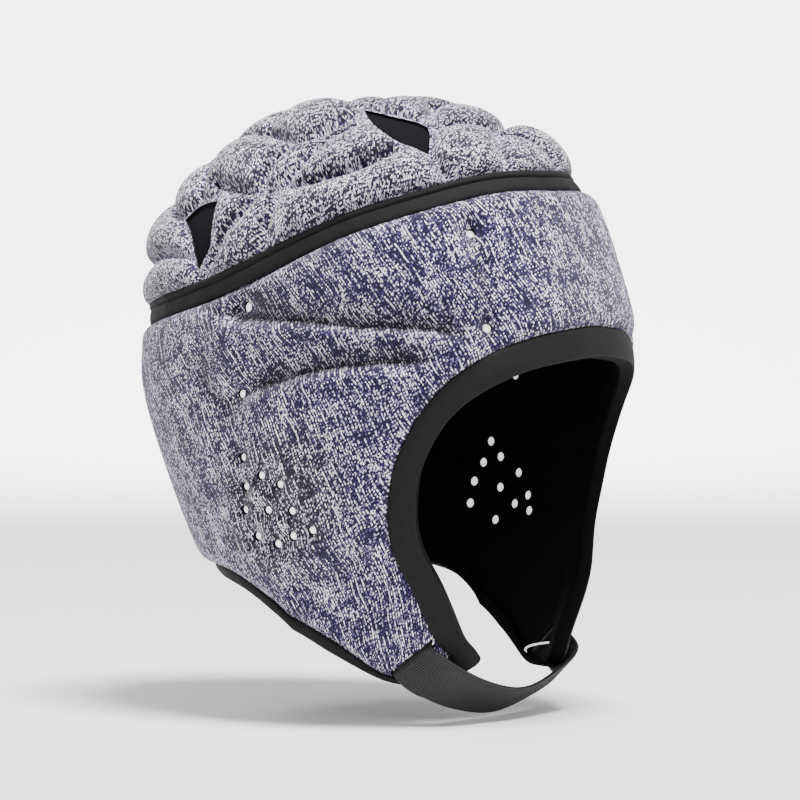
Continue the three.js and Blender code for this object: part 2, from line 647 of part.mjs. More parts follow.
// Folded tape round an edge of the side panel, from one place of the ring to another
function edgeBinding(first, last) {
  const columns = [];
  for (let i = first; i <= last; i += 1) columns.push(COLUMNS[(i + COLUMNS.length) % COLUMNS.length]);
  const top = PAD_INSIDE + EDGE_PADDING + BINDING_CLEARANCE;
  const bottom = -BINDING_CLEARANCE;
  const section = columns.map((column) => {
    const spot = (fromEdge, offset) => {
      const share = 1 - fromEdge / column.length;
      const [angle, depth] = column.at(Math.min(share, 1));
      const point = sidePoint(angle, depth, offset);
      if (share > 1) {
        const [a, b] = [sidePoint(...column.at(0.98), offset), sidePoint(...column.at(1), offset)];
        point.addScaledVector(b.sub(a).normalize(), -fromEdge);
      }
      return point;
    };
    const width = column.binding;
    return [
      spot(width, top + BINDING_THICKNESS), spot(-CLEARANCE, top + BINDING_THICKNESS),
      spot(-CLEARANCE - BINDING_THICKNESS, top), spot(-CLEARANCE - BINDING_THICKNESS, bottom),
      spot(-CLEARANCE, bottom - BINDING_THICKNESS), spot(width, bottom - BINDING_THICKNESS),
      spot(width, bottom), spot(-CLEARANCE, bottom), spot(-CLEARANCE, top), spot(width, top),
    ];
  });
  const underLip = 8;
  return gridSolid(section[0].map((_, k) => section.map((spots) => spots[k])), false, underLip,
    (c) => splitAt((c + first + COLUMNS.length) % COLUMNS.length));
}

// Piped band over the crown seam: a broad lower ridge and a narrow upper cord.
// Height in shares of half the band, thickness in shares of BAND_THICKNESS.
const BAND_SECTION = [
  { height: -1, thickness: 0 },
  { height: -1, thickness: 0.45 },
  { height: -0.4, thickness: 1 },
  { height: 0.15, thickness: 0.95 },
  { height: 0.42, thickness: 0.5 },
  { height: 0.7, thickness: 0.85 },
  { height: 1, thickness: 0.4 },
  { height: 1, thickness: 0 },
];

function seamBand() {
  const base = PAD_INSIDE + EDGE_PADDING + CLEARANCE;
  const grid = BAND_SECTION.map(({ height, thickness }) => {
    const offset = base + thickness * BAND_THICKNESS;
    const along = height * BAND_HEIGHT / 2;
    return ANGLES.map((angle) => (along >= 0 ? crownPoint(angle, 1 - along / MAP_UNIT, offset)
      : sidePoint(angle, -along / FLAP_DEPTH, offset)));
  });
  return gridSolid(grid, true);
}

// Middle line of the chin strap: sewn in at the inside face of one flap, out through its slot, under
// the chin and back in the same way. It keeps to the slots' direction near them and lies level
// from side to side in the middle.
function strapLine() {
  const half = (sign) => {
    const { point, normal, forwards, down } = slotFrame(sign);
    const outside = PAD_INSIDE + FLAP_PADDING + CLEARANCE + STRAP_THICKNESS / 2 + 0.5;
    const spot = (along, out) => point.clone().addScaledVector(down, along).addScaledVector(normal, out);
    return { forwards, points: [
      spot(0, CLEARANCE), spot(0, outside - STRAP_BEND - 0.4), spot(0.6, outside - 0.5),
      spot(STRAP_BEND * 1.6, outside),
      spot(STRAP_LAY, outside + STRAP_LIFT).addScaledVector(forwards, STRAP_TURN),
    ] };
  };
  const right = half(-1);
  const left = half(1);
  const up = new THREE.Vector3(0, -Math.sin(WORN_PITCH), Math.cos(WORN_PITCH));
  const ahead = new THREE.Vector3(0, -Math.cos(WORN_PITCH), -Math.sin(WORN_PITCH));
  const leave = right.points.at(-1);
  const sideways = Math.abs(leave.x);
  const middle = new THREE.Vector3(0, leave.y, leave.z).addScaledVector(up, -STRAP_DROP)
    .addScaledVector(ahead, STRAP_REACH);
  const shoulder = (sign) => middle.clone().lerp(new THREE.Vector3(0, leave.y, leave.z), 0.36)
    .setX(sign * sideways * 0.56);
  const points = [...right.points, shoulder(-1), middle, shoulder(1), ...left.points.reverse()];
  const across = ahead.clone().multiplyScalar(0.84).addScaledVector(up, 0.54).normalize();
  return { curve: new THREE.CatmullRomCurve3(points, false, 'centripetal'),
    across: [right.forwards, across, left.forwards], count: points.length, lay: right.points.length - 1 };
}

function chinStrap() {
  const { curve, across, count, lay } = strapLine();
  const steps = 3 * (count - 1);
  const edges = [[], [], [], []];
  const middle = (count - 1) / 2;
  for (let i = 0; i <= steps; i += 1) {
    const at = i / steps * (count - 1);
    const point = curve.getPoint(i / steps);
    const tangent = curve.getTangent(i / steps);
    const toMiddle = THREE.MathUtils.smoothstep(Math.min(at, count - 1 - at), lay, middle);
    const width = across[at <= middle ? 0 : 2].clone().lerp(across[1], toMiddle);
    width.projectOnPlane(tangent).normalize();
    const face = tangent.clone().cross(width).normalize();
    [[1, 1], [1, -1], [-1, -1], [-1, 1]].forEach(([w, t], k) => {
      edges[k].push(point.clone().addScaledVector(width, w * STRAP_WIDTH / 2)
        .addScaledVector(face, t * STRAP_THICKNESS / 2));
    });
  }
  return gridSolid(edges, false);
}

// The highest point inside the lining, in the worn pose
function headSeat() {
  let best = null;
  for (let ring = 0; ring <= 0.6; ring += 0.002) {
    const p = crownPoint(0, ring, 0);
    const height = p.z * Math.cos(WORN_PITCH) - p.y * Math.sin(WORN_PITCH);
    if (!best || height > best.height) best = { height, point: p };
  }
  return best.point;
}

const material = (color, roughness) => new THREE.MeshStandardMaterial({ color, roughness, metalness: 0 });

function named(name, geometry, paint) {
  const mesh = new THREE.Mesh(geometry, paint);
  mesh.name = name;
  return mesh;
}

const knit = () => material(0x8c889b, 0.95);
const black = () => material(0x232325, 0.85);
const tape = () => material(0x343436, 0.8);
const white = () => material(0xf2f2f0, 0.9);

const cap = new THREE.Group();
cap.name = 'scrum_cap';
const worn = new THREE.Group();
worn.name = 'worn_pose';
cap.add(worn);

const COLUMNS = panelColumns();
const ANGLES = COLUMNS.map((column) => column.at(0)[0]);
const punches = allPunches();
const vents = CROWN_VENTS.flatMap((vent) => [ventPunch(vent, 1), ventPunch(vent, -1)]);
const patches = meshPatches();
const pocketDepth = PAD_INSIDE + MESH_THICKNESS + CLEARANCE;
const pockets = patches.map((patch) => meshPatch(patch, -1, pocketDepth, CLEARANCE));
const padTop = (angle, ring) => PAD_INSIDE + crownPadding(angle, ring);
const padSide = (angle, depth, fromSeam, fromEdge, column) => PAD_INSIDE
  + sidePadding(angle, depth, fromSeam, fromEdge, column.binding);
const liningFace = () => LINING_THICKNESS;

worn.add(named('crown_pad', crownLayer(PAD_INSIDE, padTop, 11, 3, vents), knit()));
worn.add(named('side_pad', sidePanel(PAD_INSIDE, padSide, true, [...punches, ...pockets]), knit()));
worn.add(named('crown_lining', crownLayer(0, liningFace, 3, 3, []), black()));
worn.add(named('side_lining', sidePanel(0, liningFace, false, punches), black()));
worn.add(named('crown_band', seamBand(), tape()));
worn.add(named('chin_strap', chinStrap(), tape()));
for (const patch of patches) {
  worn.add(named(patch.name, meshPatch(patch, PAD_INSIDE, PAD_INSIDE + MESH_THICKNESS, 0), white()));
}

const faceLast = COLUMNS.findIndex((column) => !column.face) - 1;
worn.add(named('face_binding', edgeBinding(-faceLast, faceLast), tape()));
worn.add(named('nape_binding', edgeBinding(faceLast + 1, COLUMNS.length - faceLast - 1), tape()));

const seat = headSeat();
worn.rotation.x = -WORN_PITCH;
worn.position.copy(seat.clone().applyAxisAngle(new THREE.Vector3(1, 0, 0), -WORN_PITCH).negate());

export default cap;
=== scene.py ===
"""A soft padded rugby head guard in its worn shape, quilted, bound and strapped."""

import math

import bpy
import numpy as np
from mathutils import Matrix, Vector


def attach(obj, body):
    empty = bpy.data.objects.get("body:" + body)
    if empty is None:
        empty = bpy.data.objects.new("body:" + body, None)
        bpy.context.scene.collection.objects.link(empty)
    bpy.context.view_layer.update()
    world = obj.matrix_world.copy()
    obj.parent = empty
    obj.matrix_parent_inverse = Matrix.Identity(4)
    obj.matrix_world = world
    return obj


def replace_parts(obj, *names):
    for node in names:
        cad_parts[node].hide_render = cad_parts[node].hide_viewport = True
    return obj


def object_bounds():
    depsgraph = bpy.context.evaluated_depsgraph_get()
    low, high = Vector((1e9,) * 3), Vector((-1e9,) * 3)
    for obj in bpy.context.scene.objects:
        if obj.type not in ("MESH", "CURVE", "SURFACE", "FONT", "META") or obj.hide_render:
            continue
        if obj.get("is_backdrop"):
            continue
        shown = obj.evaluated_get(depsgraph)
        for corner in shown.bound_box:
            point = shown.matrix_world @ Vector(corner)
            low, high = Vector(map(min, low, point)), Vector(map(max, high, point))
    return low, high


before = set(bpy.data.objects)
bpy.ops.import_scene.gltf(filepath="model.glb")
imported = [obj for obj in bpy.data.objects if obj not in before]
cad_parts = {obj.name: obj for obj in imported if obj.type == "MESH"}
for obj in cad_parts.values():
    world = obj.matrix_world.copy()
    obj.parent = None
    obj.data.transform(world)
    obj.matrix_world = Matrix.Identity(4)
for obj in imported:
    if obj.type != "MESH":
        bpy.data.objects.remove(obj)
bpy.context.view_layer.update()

# Sizes of the head form inside the cap, in millimetres
HEAD_WIDTH = 152
HEAD_LENGTH = 190
CROWN_HEIGHT = 59
CROWN_LEAN = 7.6
DOME_POWER = 1.8
FLAP_DEPTH = 180
WORN_PITCH = math.radians(17)
SEAM_WAVE = 6

# Layers, counted outwards from the head form
LINING_THICKNESS = 0.8
CLEARANCE = 0.3
SIDE_PADDING = 7.5
FLAP_PADDING = 4
EDGE_PADDING = 2.4
GROOVE_PADDING = 0.9
THINNEST_PADDING = 0.8

# The side panel's padding: it thins to the flap over these shares of the depth, and it is full
# at these distances from the crown band and from the bindings
FLAP_TAPER = (0.62, 0.78)
SEAM_SWELL = 8
EDGE_SWELL = 9

# Bump over the ear, the dimples round the punched holes, and the painted shade that darkens the knit in
# each dimple, with how far it reaches
EAR_BUMP = {"angle": 88, "depth": 0.54, "half_width": 21, "half_height": 26, "lift": 2.2}
DIMPLE_SINK = 3.0
EAR_DIMPLE = 3.6
SINGLE_DIMPLE = 5.0
DIMPLE_PAINTED_SHADE = 0.75
DIMPLE_SHADE_REACH = 3.2

# The crown's pods: grid of the pressure sum, how far grooves and vents hold the skin down, how
# far the pressure reaches, the lift it gives, and the height at which the knit is fully stretched
POD_STEP = 0.6
GROOVE_HOLD = 1.3
VENT_HOLD = 2.0
POD_REACH = 8
POD_LIFT = 1.42
FULL_POD = 8
# Painted shade darkens a pod's side that falls away outwards, towards the seam, where the skin falls by
# the second length over the first; the third number is its strongest shade
FALL_RUN = 1.2
FALL_DROP = 1.3
POD_PAINTED_SHADE = 0.6

# Trim
BAND_HEIGHT = 11
BAND_THICKNESS = 2.4
FACE_BINDING_WIDTH = 10.6
NAPE_BINDING_WIDTH = 5.4
BINDING_THICKNESS = 1.1
BINDING_CLEARANCE = 0.4
STRAP_WIDTH = 20
STRAP_THICKNESS = 1.8
STRAP_DROP = 11.5
STRAP_REACH = 2
STRAP_LAY = 11.5
STRAP_LIFT = 1.6
STRAP_TURN = 3
STRAP_BEND = 1.7
SLOT_CLEARANCE = 0.8
HOLE_DIAMETER = 3.8

# How the knit is laid: turned in the crown's flat map, and slanted down the side panel
CROWN_LAY = math.radians(37)
SIDE_LAY = 0.34

PAD_INSIDE = LINING_THICKNESS + CLEARANCE
HALF_WIDTH = HEAD_WIDTH / 2
HALF_LENGTH = HEAD_LENGTH / 2
# Millimetres to a unit of the crown's flat map, and to a degree round the side
MAP_UNIT = (CROWN_HEIGHT + HALF_LENGTH) * 0.62
DEGREE = HALF_WIDTH * 0.0184
# The layers turn from level to square off the form over this distance from the crown seam
LEVEL_REACH = 14
# Length of the side panel's longer columns
COLUMN_LENGTH = 190
# Place in the panel's table where the face opening ends and the nape begins
FACE_END = 9.4
# Innermost ring of the crown's layers, and the angle from which an edge shades as sharp
FIRST_RING = 0.006
SHARP_EDGE = math.radians(40)


def table(columns, *rows):
    """Rows of numbers under the names of their columns."""
    return [dict(zip(columns.split(), row)) for row in rows]


# Sections of the head form below the crown seam, as shares of its depth and half sizes
SECTIONS = table(
    "depth width front widest back power",
    (0.0, 0.928, -0.947, 0.053, 0.937, 2.1),
    (0.067, 0.967, -0.989, 0.053, 0.958, 2.2),
    (0.167, 0.993, -1.0, 0.063, 0.989, 2.3),
    (0.333, 1.0, -1.011, 0.095, 0.968, 2.25),
    (0.539, 0.961, -0.968, 0.179, 0.895, 2.2),
    (0.639, 0.921, -0.905, 0.232, 0.821, 2.15),
    (0.778, 0.829, -0.737, 0.295, 0.758, 2.1),
    (0.944, 0.697, -0.421, 0.347, 0.695, 2.0),
    (1.06, 0.62, -0.32, 0.37, 0.67, 2.0))

# Rise and fall of the crown seam, from the brow (0) to the back (180), as shares of SEAM_WAVE
SEAM = table(
    "angle rise",
    (0, 0.5), (21, 0.65), (43, 0.37), (63, 0.08), (90, -0.83),
    (104, -0.95), (125, -0.58), (145, -0.17), (180, 0.0))

# Columns of the side panel on one half: place at the seam, middle and lower edge
PANEL = table(
    "row top mid_angle mid_depth end_angle end_depth",
    (0, 0, 0, 0.19, 0, 0.383),
    (1, 26, 27, 0.2, 27, 0.4),
    (2, 43, 46, 0.235, 44.5, 0.446),
    (3, 55, 60, 0.3, 54.5, 0.53),
    (4, 63, 69, 0.4, 57.5, 0.615),
    (5, 69, 73.5, 0.51, 56.5, 0.71),
    (6, 74, 75.2, 0.6, 49.5, 0.81),
    (7, 78, 74.2, 0.67, 39.5, 0.91),
    (8, 81, 73.6, 0.698, 32.5, 0.96),
    (9, 84, 74.6, 0.705, 42, 0.985),
    (10, 87, 76.4, 0.697, 53, 0.983),
    (11, 91, 79.4, 0.664, 65, 0.955),
    (12, 98, 86.5, 0.575, 81, 0.865),
    (13, 109, 102, 0.44, 96, 0.755),
    (14, 124, 120, 0.35, 116, 0.665),
    (15, 148, 147, 0.31, 145, 0.61),
    (16, 180, 180, 0.29, 180, 0.59))

# Sewn folds of the side panel on one half: how deep they sink, and how far the panel rolls in
# above them and swells again below them, in millimetres; the painted shade reaches by these too
SIDE_FOLDS = [
    {"name": "upper fold", "sink": 5.4, "above": 10, "below": 2.2,
     "path": [(99, 0.07), (93, 0.1), (86, 0.14), (67, 0.22), (46, 0.28), (39, 0.32)]},
    {"name": "lower fold", "sink": 5.2, "above": 10, "below": 2.2,
     "path": [(94, 0.286), (86, 0.287), (75, 0.291), (57, 0.322), (48, 0.342)]},
    {"name": "front channel", "sink": 2.6, "above": 5, "below": 5,
     "path": [(28, 0.02), (31, 0.1), (31, 0.18), (33, 0.3), (34, 0.35)]},
    {"name": "back channel", "sink": 3.0, "above": 8, "below": 8,
     "path": [(101, 0.12), (104, 0.2), (103, 0.25), (98, 0.3), (95, 0.35)]},
    {"name": "ear lower edge", "sink": 2.4, "above": 5, "below": 6,
     "path": [(66, 0.66), (74, 0.708), (82, 0.71), (88, 0.695)]},
]
# Sink at which a fold's painted shade is at its darkest
FULL_SHADE_SINK = 5.2

# Sewn grooves of the crown on one half, in its flat map: the seam is the circle of radius 1,
# the first number runs sideways and the second from front (-) to back
CROWN_GROOVES = [
    [(0.53, 0.11), (0.65, -0.04), (0.67, -0.11), (0.69, -0.17)],
    [(0.69, -0.17), (0.69, -0.29), (0.65, -0.4), (0.58, -0.49), (0.49, -0.55)],
    [(0.69, -0.17), (0.78, -0.15), (0.88, -0.11), (1, -0.07)],
    [(0.67, -0.09), (0.75, -0.02), (0.81, 0.06), (0.87, 0.14), (0.95, 0.27)],
    [(0.67, -0.19), (0.61, -0.23), (0.51, -0.28), (0.36, -0.36), (0.24, -0.33), (0.13, -0.28)],
    [(0.66, -0.1), (0.57, -0.11), (0.46, -0.16), (0.4, -0.11), (0.28, 0), (0.1, -0.03), (0, -0.04)],
    [(0.46, -0.16), (0.45, -0.22), (0.38, -0.28), (0.26, -0.32)],
    [(0.13, -0.29), (0.1, -0.2), (0, -0.16)],
    [(0.13, -0.29), (0, -0.33)],
    [(0.23, -0.59), (0.16, -0.54), (0, -0.46)],
    [(0.25, -0.61), (0.12, -0.66), (0, -0.7), (0.11, -0.8), (0.24, -0.95)],
    [(0.41, -0.66), (0.45, -0.72), (0.52, -0.86)],
    [(0.28, 0), (0.23, 0.22), (0.22, 0.44)],
    [(0.54, 0.2), (0.38, 0.2), (0.23, 0.22), (0, 0.22)],
    [(0.55, 0.31), (0.41, 0.41), (0.22, 0.44), (0, 0.46)],
    [(0.78, 0.27), (0.64, 0.44), (0.5, 0.62), (0.24, 0.72), (0, 0.74)],
    [(0.85, 0.25), (0.95, 0.27)],
    [(0.5, 0.62), (0.6, 0.77)],
    [(0.22, 0.73), (0.26, 0.93)],
]

# Leaf-shaped vents on one half of the crown, in the same flat map
CROWN_VENTS = [
    {"name": "front vent",
     "outline": [(0.13, -0.29), (0.195, -0.39), (0.215, -0.47), (0.225, -0.54), (0.27, -0.59),
                 (0.412, -0.66), (0.403, -0.545), (0.363, -0.464), (0.304, -0.397), (0.227, -0.343)]},
    {"name": "back vent",
     "outline": [(0.6, 0.106), (0.56, 0.21), (0.551, 0.312), (0.676, 0.258), (0.854, 0.245),
                 (0.796, 0.155), (0.7, 0.123)]},
]

# Punched holes: angle and depth on the wearer's right and left
EAR_HOLES = table(
    "right left",
    ((95, 0.419), (90.5, 0.433)),
    ((90, 0.469), (88.5, 0.475)),
    ((95, 0.481), (93, 0.475)),
    ((86.5, 0.5), (84, 0.525)),
    ((96.5, 0.528), (96.5, 0.511)),
    ((89.5, 0.544), (88.5, 0.544)),
    ((84.5, 0.561), (81, 0.583)),
    ((93.5, 0.589), (98.5, 0.558)),
    ((85, 0.611), (84.5, 0.592)),
    ((80.5, 0.611), (80, 0.619)),
    ((88.5, 0.617), (89, 0.614)))
SINGLE_HOLES = table(
    "right left",
    ((90, 0.085), (90, 0.085)),
    ((93.5, 0.286), (84, 0.303)),
    ((31, 0.1), (31, 0.1)),
    ((33, 0.297), (33, 0.297)))

# Middle of the strap's slot in a flap, and the rear end that gives its direction
SLOT = {"angle": 55.5, "depth": 0.926, "rear_angle": 62, "rear_depth": 0.945}
SIDES = {"left": 1, "right": -1}


def read_table(table, key, column, at):
    """Smooth reading of one column of a table whose rows are ordered by key."""
    keys = np.array([row[key] for row in table], float)
    values = np.array([row[column] for row in table], float)
    count = len(keys)
    before = np.maximum(np.arange(count) - 1, 0)
    after = np.minimum(np.arange(count) + 1, count - 1)
    slopes = (values[after] - values[before]) / (keys[after] - keys[before])
    x = np.clip(at, keys[0], keys[-1])
    i = np.clip(np.searchsorted(keys, x, "left") - 1, 0, count - 2)
    span = keys[i + 1] - keys[i]
    s = (x - keys[i]) / span
    s2, s3 = s * s, s * s * s
    return ((2 * s3 - 3 * s2 + 1) * values[i] + (s3 - 2 * s2 + s) * span * slopes[i]
            + (3 * s2 - 2 * s3) * values[i + 1] + (s3 - s2) * span * slopes[i + 1])


def smoothstep(x, low, high):
    t = np.clip((x - low) / (high - low), 0, 1)
    return t * t * (3 - 2 * t)


def signed_power(value, power):
    return np.sign(value) * np.abs(value) ** power


def unit(vectors):
    return vectors / np.maximum(np.linalg.norm(vectors, axis=-1, keepdims=True), 1e-12)


def run_along(line):
    """Distance of each point of a line from its start, along the line."""
    return np.concatenate([[0], np.cumsum(np.linalg.norm(np.diff(line, axis=0), axis=1))])


def outline(angle, depth):
    """Outline of the head form at a depth and angle: x and y in millimetres."""
    width, front, widest, back, power = (
        read_table(SECTIONS, "depth", column, depth) for column in list(SECTIONS[0])[1:])
    s = signed_power(np.sin(np.radians(angle)), 2 / power)
    c = signed_power(np.cos(np.radians(angle)), 2 / power)
    reach = np.where(c > 0, widest - front, back - widest)
    return s * width * HALF_WIDTH, (widest - reach * c) * HALF_LENGTH


def seam_rise(angle):
    folded = np.abs((angle + 540) % 360 - 180)
    return SEAM_WAVE * read_table(SEAM, "angle", "rise", folded)


def side_base(angle, depth):
    x, y = outline(angle, depth)
    fade = 1 - smoothstep(depth, 0, 0.25)
    return np.stack([x, y, seam_rise(angle) * fade - depth * FLAP_DEPTH], -1)


def crown_base(angle, ring):
    x, y = outline(angle, np.zeros_like(ring))
    middle = SECTIONS[0]["widest"] * HALF_LENGTH
    lift = np.maximum(np.cos(ring * np.pi / 2), 0) ** (2 / DOME_POWER)
    spread = np.sin(ring * np.pi / 2) ** (2 / DOME_POWER)
    return np.stack([x * spread, middle + (y - middle) * spread + CROWN_LEAN * lift,
                     CROWN_HEIGHT * lift + seam_rise(angle) * (1 - lift)], -1)


def square_off(base, angle, along, from_seam):
    """Which way is square off the head form; level at the crown seam."""
    sideways = base(angle + 0.5, along) - base(angle - 0.5, along)
    downwards = base(angle, along + 0.004) - base(angle, along - 0.004)
    normal = unit(np.cross(downwards, sideways))
    zero = np.zeros_like(along)
    x1, y1 = outline(angle + 0.5, zero)
    x0, y0 = outline(angle - 0.5, zero)
    level = unit(np.stack([-(y1 - y0), x1 - x0, np.zeros_like(x1)], -1))
    facing = np.sign(np.sum(level * normal, -1, keepdims=True))
    blend = smoothstep(from_seam, 0, 1)[..., None]
    return unit(level * facing * (1 - blend) + normal * blend)


def side_normal(angle, depth):
    return square_off(side_base, angle, np.maximum(depth, 0.004), depth * FLAP_DEPTH / LEVEL_REACH)


def side_point(angle, depth, offset):
    angle, depth, offset = np.broadcast_arrays(*(np.asarray(v, float) for v in (angle, depth, offset)))
    return side_base(angle, depth) + side_normal(angle, depth) * offset[..., None]


def crown_point(angle, ring, offset):
    angle, ring, offset = np.broadcast_arrays(*(np.asarray(v, float) for v in (angle, ring, offset)))
    at = np.clip(ring, 0.01, 0.99)
    normal = square_off(crown_base, angle, at, (1 - ring) * MAP_UNIT / LEVEL_REACH)
    return crown_base(angle, np.maximum(ring, 1e-4)) + normal * offset[..., None]


def nearest_on(path, x, y, scale_x=1.0, scale_y=1.0):
    """Distance from a path of corners, the share along it, and how far below it a point lies."""
    best = np.full(np.shape(x), np.inf)
    along = np.zeros(np.shape(x))
    below = np.zeros(np.shape(x))
    pieces = len(path) - 1
    for i in range(pieces):
        ax, ay = path[i][0] * scale_x, path[i][1] * scale_y
        dx, dy = path[i + 1][0] * scale_x - ax, path[i + 1][1] * scale_y - ay
        px, py = x * scale_x - ax, y * scale_y - ay
        s = np.clip((px * dx + py * dy) / (dx * dx + dy * dy), 0, 1)
        away = np.hypot(px - s * dx, py - s * dy)
        nearer = away < best
        best = np.where(nearer, away, best)
        along = np.where(nearer, (i + s) / pieces, along)
        below = np.where(nearer, py - s * dy, below)
    return best, along, below


def inside_outline(corners, x, y):
    """Whether points lie inside a closed outline of corners."""
    inside = np.zeros(np.shape(x), bool)
    for (ax, ay), (bx, by) in zip(corners, corners[1:] + corners[:1]):
        crosses = (ay > y) != (by > y)
        at = ax + (y - ay) * (bx - ax) / (by - ay if by != ay else 1e-9)
        inside ^= crosses & (x < at)
    return inside


def rounded_path(path):
    """A path whose inner corners are rounded off, its ends kept."""
    points = np.array(path, float)
    p = np.vstack([2 * points[0] - points[1], points, 2 * points[-1] - points[-2]])
    result = []
    for p0, p1, p2, p3 in zip(p, p[1:], p[2:], p[3:]):
        for t in np.linspace(0, 1, 6, endpoint=False):
            result.append(0.5 * (2 * p1 + (p2 - p0) * t + (2 * p0 - 5 * p1 + 4 * p2 - p3) * t * t
                                 + (3 * p1 - p0 - 3 * p2 + p3) * t ** 3))
    return np.array(result + [points[-1]])


def smooth_line(points, per_piece):
    """A smooth line through points, its pace set by their distances, and the place of each of its
    points counted in those given."""
    p = np.array(points)
    p = np.vstack([2 * p[0] - p[1], p, 2 * p[-1] - p[-2]])
    line, places = [], []
    for i, (p0, p1, p2, p3) in enumerate(zip(p, p[1:], p[2:], p[3:])):
        d0, d1, d2 = (max(np.linalg.norm(b - a) ** 0.5, 1e-4) for a, b in ((p0, p1), (p1, p2), (p2, p3)))
        t1 = ((p1 - p0) / d0 - (p2 - p0) / (d0 + d1) + (p2 - p1) / d1) * d1
        t2 = ((p2 - p1) / d1 - (p3 - p1) / (d1 + d2) + (p3 - p2) / d2) * d1
        for t in np.linspace(0, 1, per_piece, endpoint=False):
            line.append(p1 + t1 * t + (-3 * p1 + 3 * p2 - 2 * t1 - t2) * t * t
                        + (2 * p1 - 2 * p2 + t1 + t2) * t ** 3)
            places.append(i + t)
    return np.array(line + [p[-2]]), np.array(places + [len(p) - 3.0])


def inflate(held, step, reach):
    """Swelling of a skin held down where held is true, as under even pressure.

    The sum is settled on coarse grids first and carried on to the finer ones."""
    coarsest, rounds = 60, 160
    levels = []
    mask = held
    while min(mask.shape) > coarsest:
        levels.append(mask)
        rows, columns = (mask.shape[0] // 2) * 2, (mask.shape[1] // 2) * 2
        mask = mask[:rows, :columns].reshape(rows // 2, 2, columns // 2, 2).any(axis=(1, 3))
    levels.append(mask)
    rise = np.zeros(levels[-1].shape)
    for level in range(len(levels) - 1, -1, -1):
        mask = levels[level]
        size = step * 2 ** level
        if rise.shape != mask.shape:
            rise = np.repeat(np.repeat(rise, 2, 0), 2, 1)
            rise = np.pad(rise, [(0, long - short) for long, short in zip(mask.shape, rise.shape)])
        for _ in range(rounds):
            around = np.zeros_like(rise)
            around[1:-1, 1:-1] = (rise[:-2, 1:-1] + rise[2:, 1:-1] + rise[1:-1, :-2] + rise[1:-1, 2:])
            rise = (around + size * size) / (4 + (size / reach) ** 2)
            rise[mask] = 0
            rise[0], rise[-1], rise[:, 0], rise[:, -1] = 0, 0, 0, 0
    return rise


def sample(field, low, x, y):
    """Reading of a field of pod heights between its grid points."""
    u = np.clip((x - low) / POD_STEP, 0, field.shape[1] - 1.001)
    v = np.clip((y - low) / POD_STEP, 0, field.shape[0] - 1.001)
    i, j = u.astype(int), v.astype(int)
    s, t = u - i, v - j
    return ((field[j, i] * (1 - s) + field[j, i + 1] * s) * (1 - t)
            + (field[j + 1, i] * (1 - s) + field[j + 1, i + 1] * s) * t)


def crown_pods(edge):
    """The pressure under the crown's skin over its flat map, out to edge on every side."""
    ticks = np.arange(-edge, edge, POD_STEP)
    x, y = np.meshgrid(ticks, ticks)
    side = np.abs(x)
    held = np.hypot(x, y) > MAP_UNIT - BAND_HEIGHT * 0.42
    for path in CROWN_GROOVES:
        away, _, _ = nearest_on(rounded_path(path) * MAP_UNIT, side, y)
        held |= away < GROOVE_HOLD
    for vent in CROWN_VENTS:
        corners = [(a * MAP_UNIT, b * MAP_UNIT) for a, b in vent["outline"]]
        away, _, _ = nearest_on(corners + corners[:1], side, y)
        held |= inside_outline(corners, side, y) | (away < VENT_HOLD)
    return inflate(held, POD_STEP, POD_REACH)


MAP_EDGE = 1.04 * MAP_UNIT
POD_FIELD = crown_pods(MAP_EDGE)


def pod_rise(x, y):
    return POD_LIFT * np.sqrt(np.maximum(sample(POD_FIELD, -MAP_EDGE, x, y), 0))


def crown_padding(angle, ring):
    """Thickness of the crown's padding, how full it is there, and how much painted shade darkens its
    knit, from 0 to 1.
    """
    x = ring * np.sin(np.radians(angle)) * MAP_UNIT
    y = -ring * np.cos(np.radians(angle)) * MAP_UNIT
    rise = pod_rise(x, y)
    # Painted shade on the pods' sides that fall away outwards, as if a light above shaded them
    outwards = 1 + FALL_RUN / np.maximum(np.hypot(x, y), 1)
    shaded_side = np.clip((rise - pod_rise(x * outwards, y * outwards)) / FALL_DROP, 0, 1)
    hollow = POD_PAINTED_SHADE * shaded_side * np.clip(rise / 2, 0, 1)
    return GROOVE_PADDING + rise, np.clip(rise / FULL_POD, 0, 1), hollow


def side_folds(side, depth):
    """How far the sewn folds sink and swell the side panel, and their painted shade, which spreads
    further above a fold than below it.
    """
    sunk, swollen, hollow = (np.zeros(np.shape(side)) for _ in range(3))
    for fold in SIDE_FOLDS:
        away, along, below = nearest_on(rounded_path(fold["path"]), side, depth, DEGREE, FLAP_DEPTH)
        reach = np.where(below > 0, fold["below"], fold["above"])
        ends = 0.25 + 0.75 * (smoothstep(along, 0, 0.25) * (1 - smoothstep(along, 0.8, 1)))
        sunk = np.maximum(sunk, fold["sink"] * ends * np.exp(-away / reach))
        if fold["below"] < fold["above"] / 2:
            swollen = np.maximum(swollen, 1.1 * ends * (below > 0) * np.exp(-((away - 5) / 3) ** 2))
        # Painted shade along the fold, reaching further on the side above it
        shaded = np.where(below > 0, fold["below"] * 0.3, fold["above"] * 0.75)
        hollow = np.maximum(hollow, fold["sink"] / FULL_SHADE_SINK * ends * np.exp(-away / shaded))
    return sunk, swollen, hollow


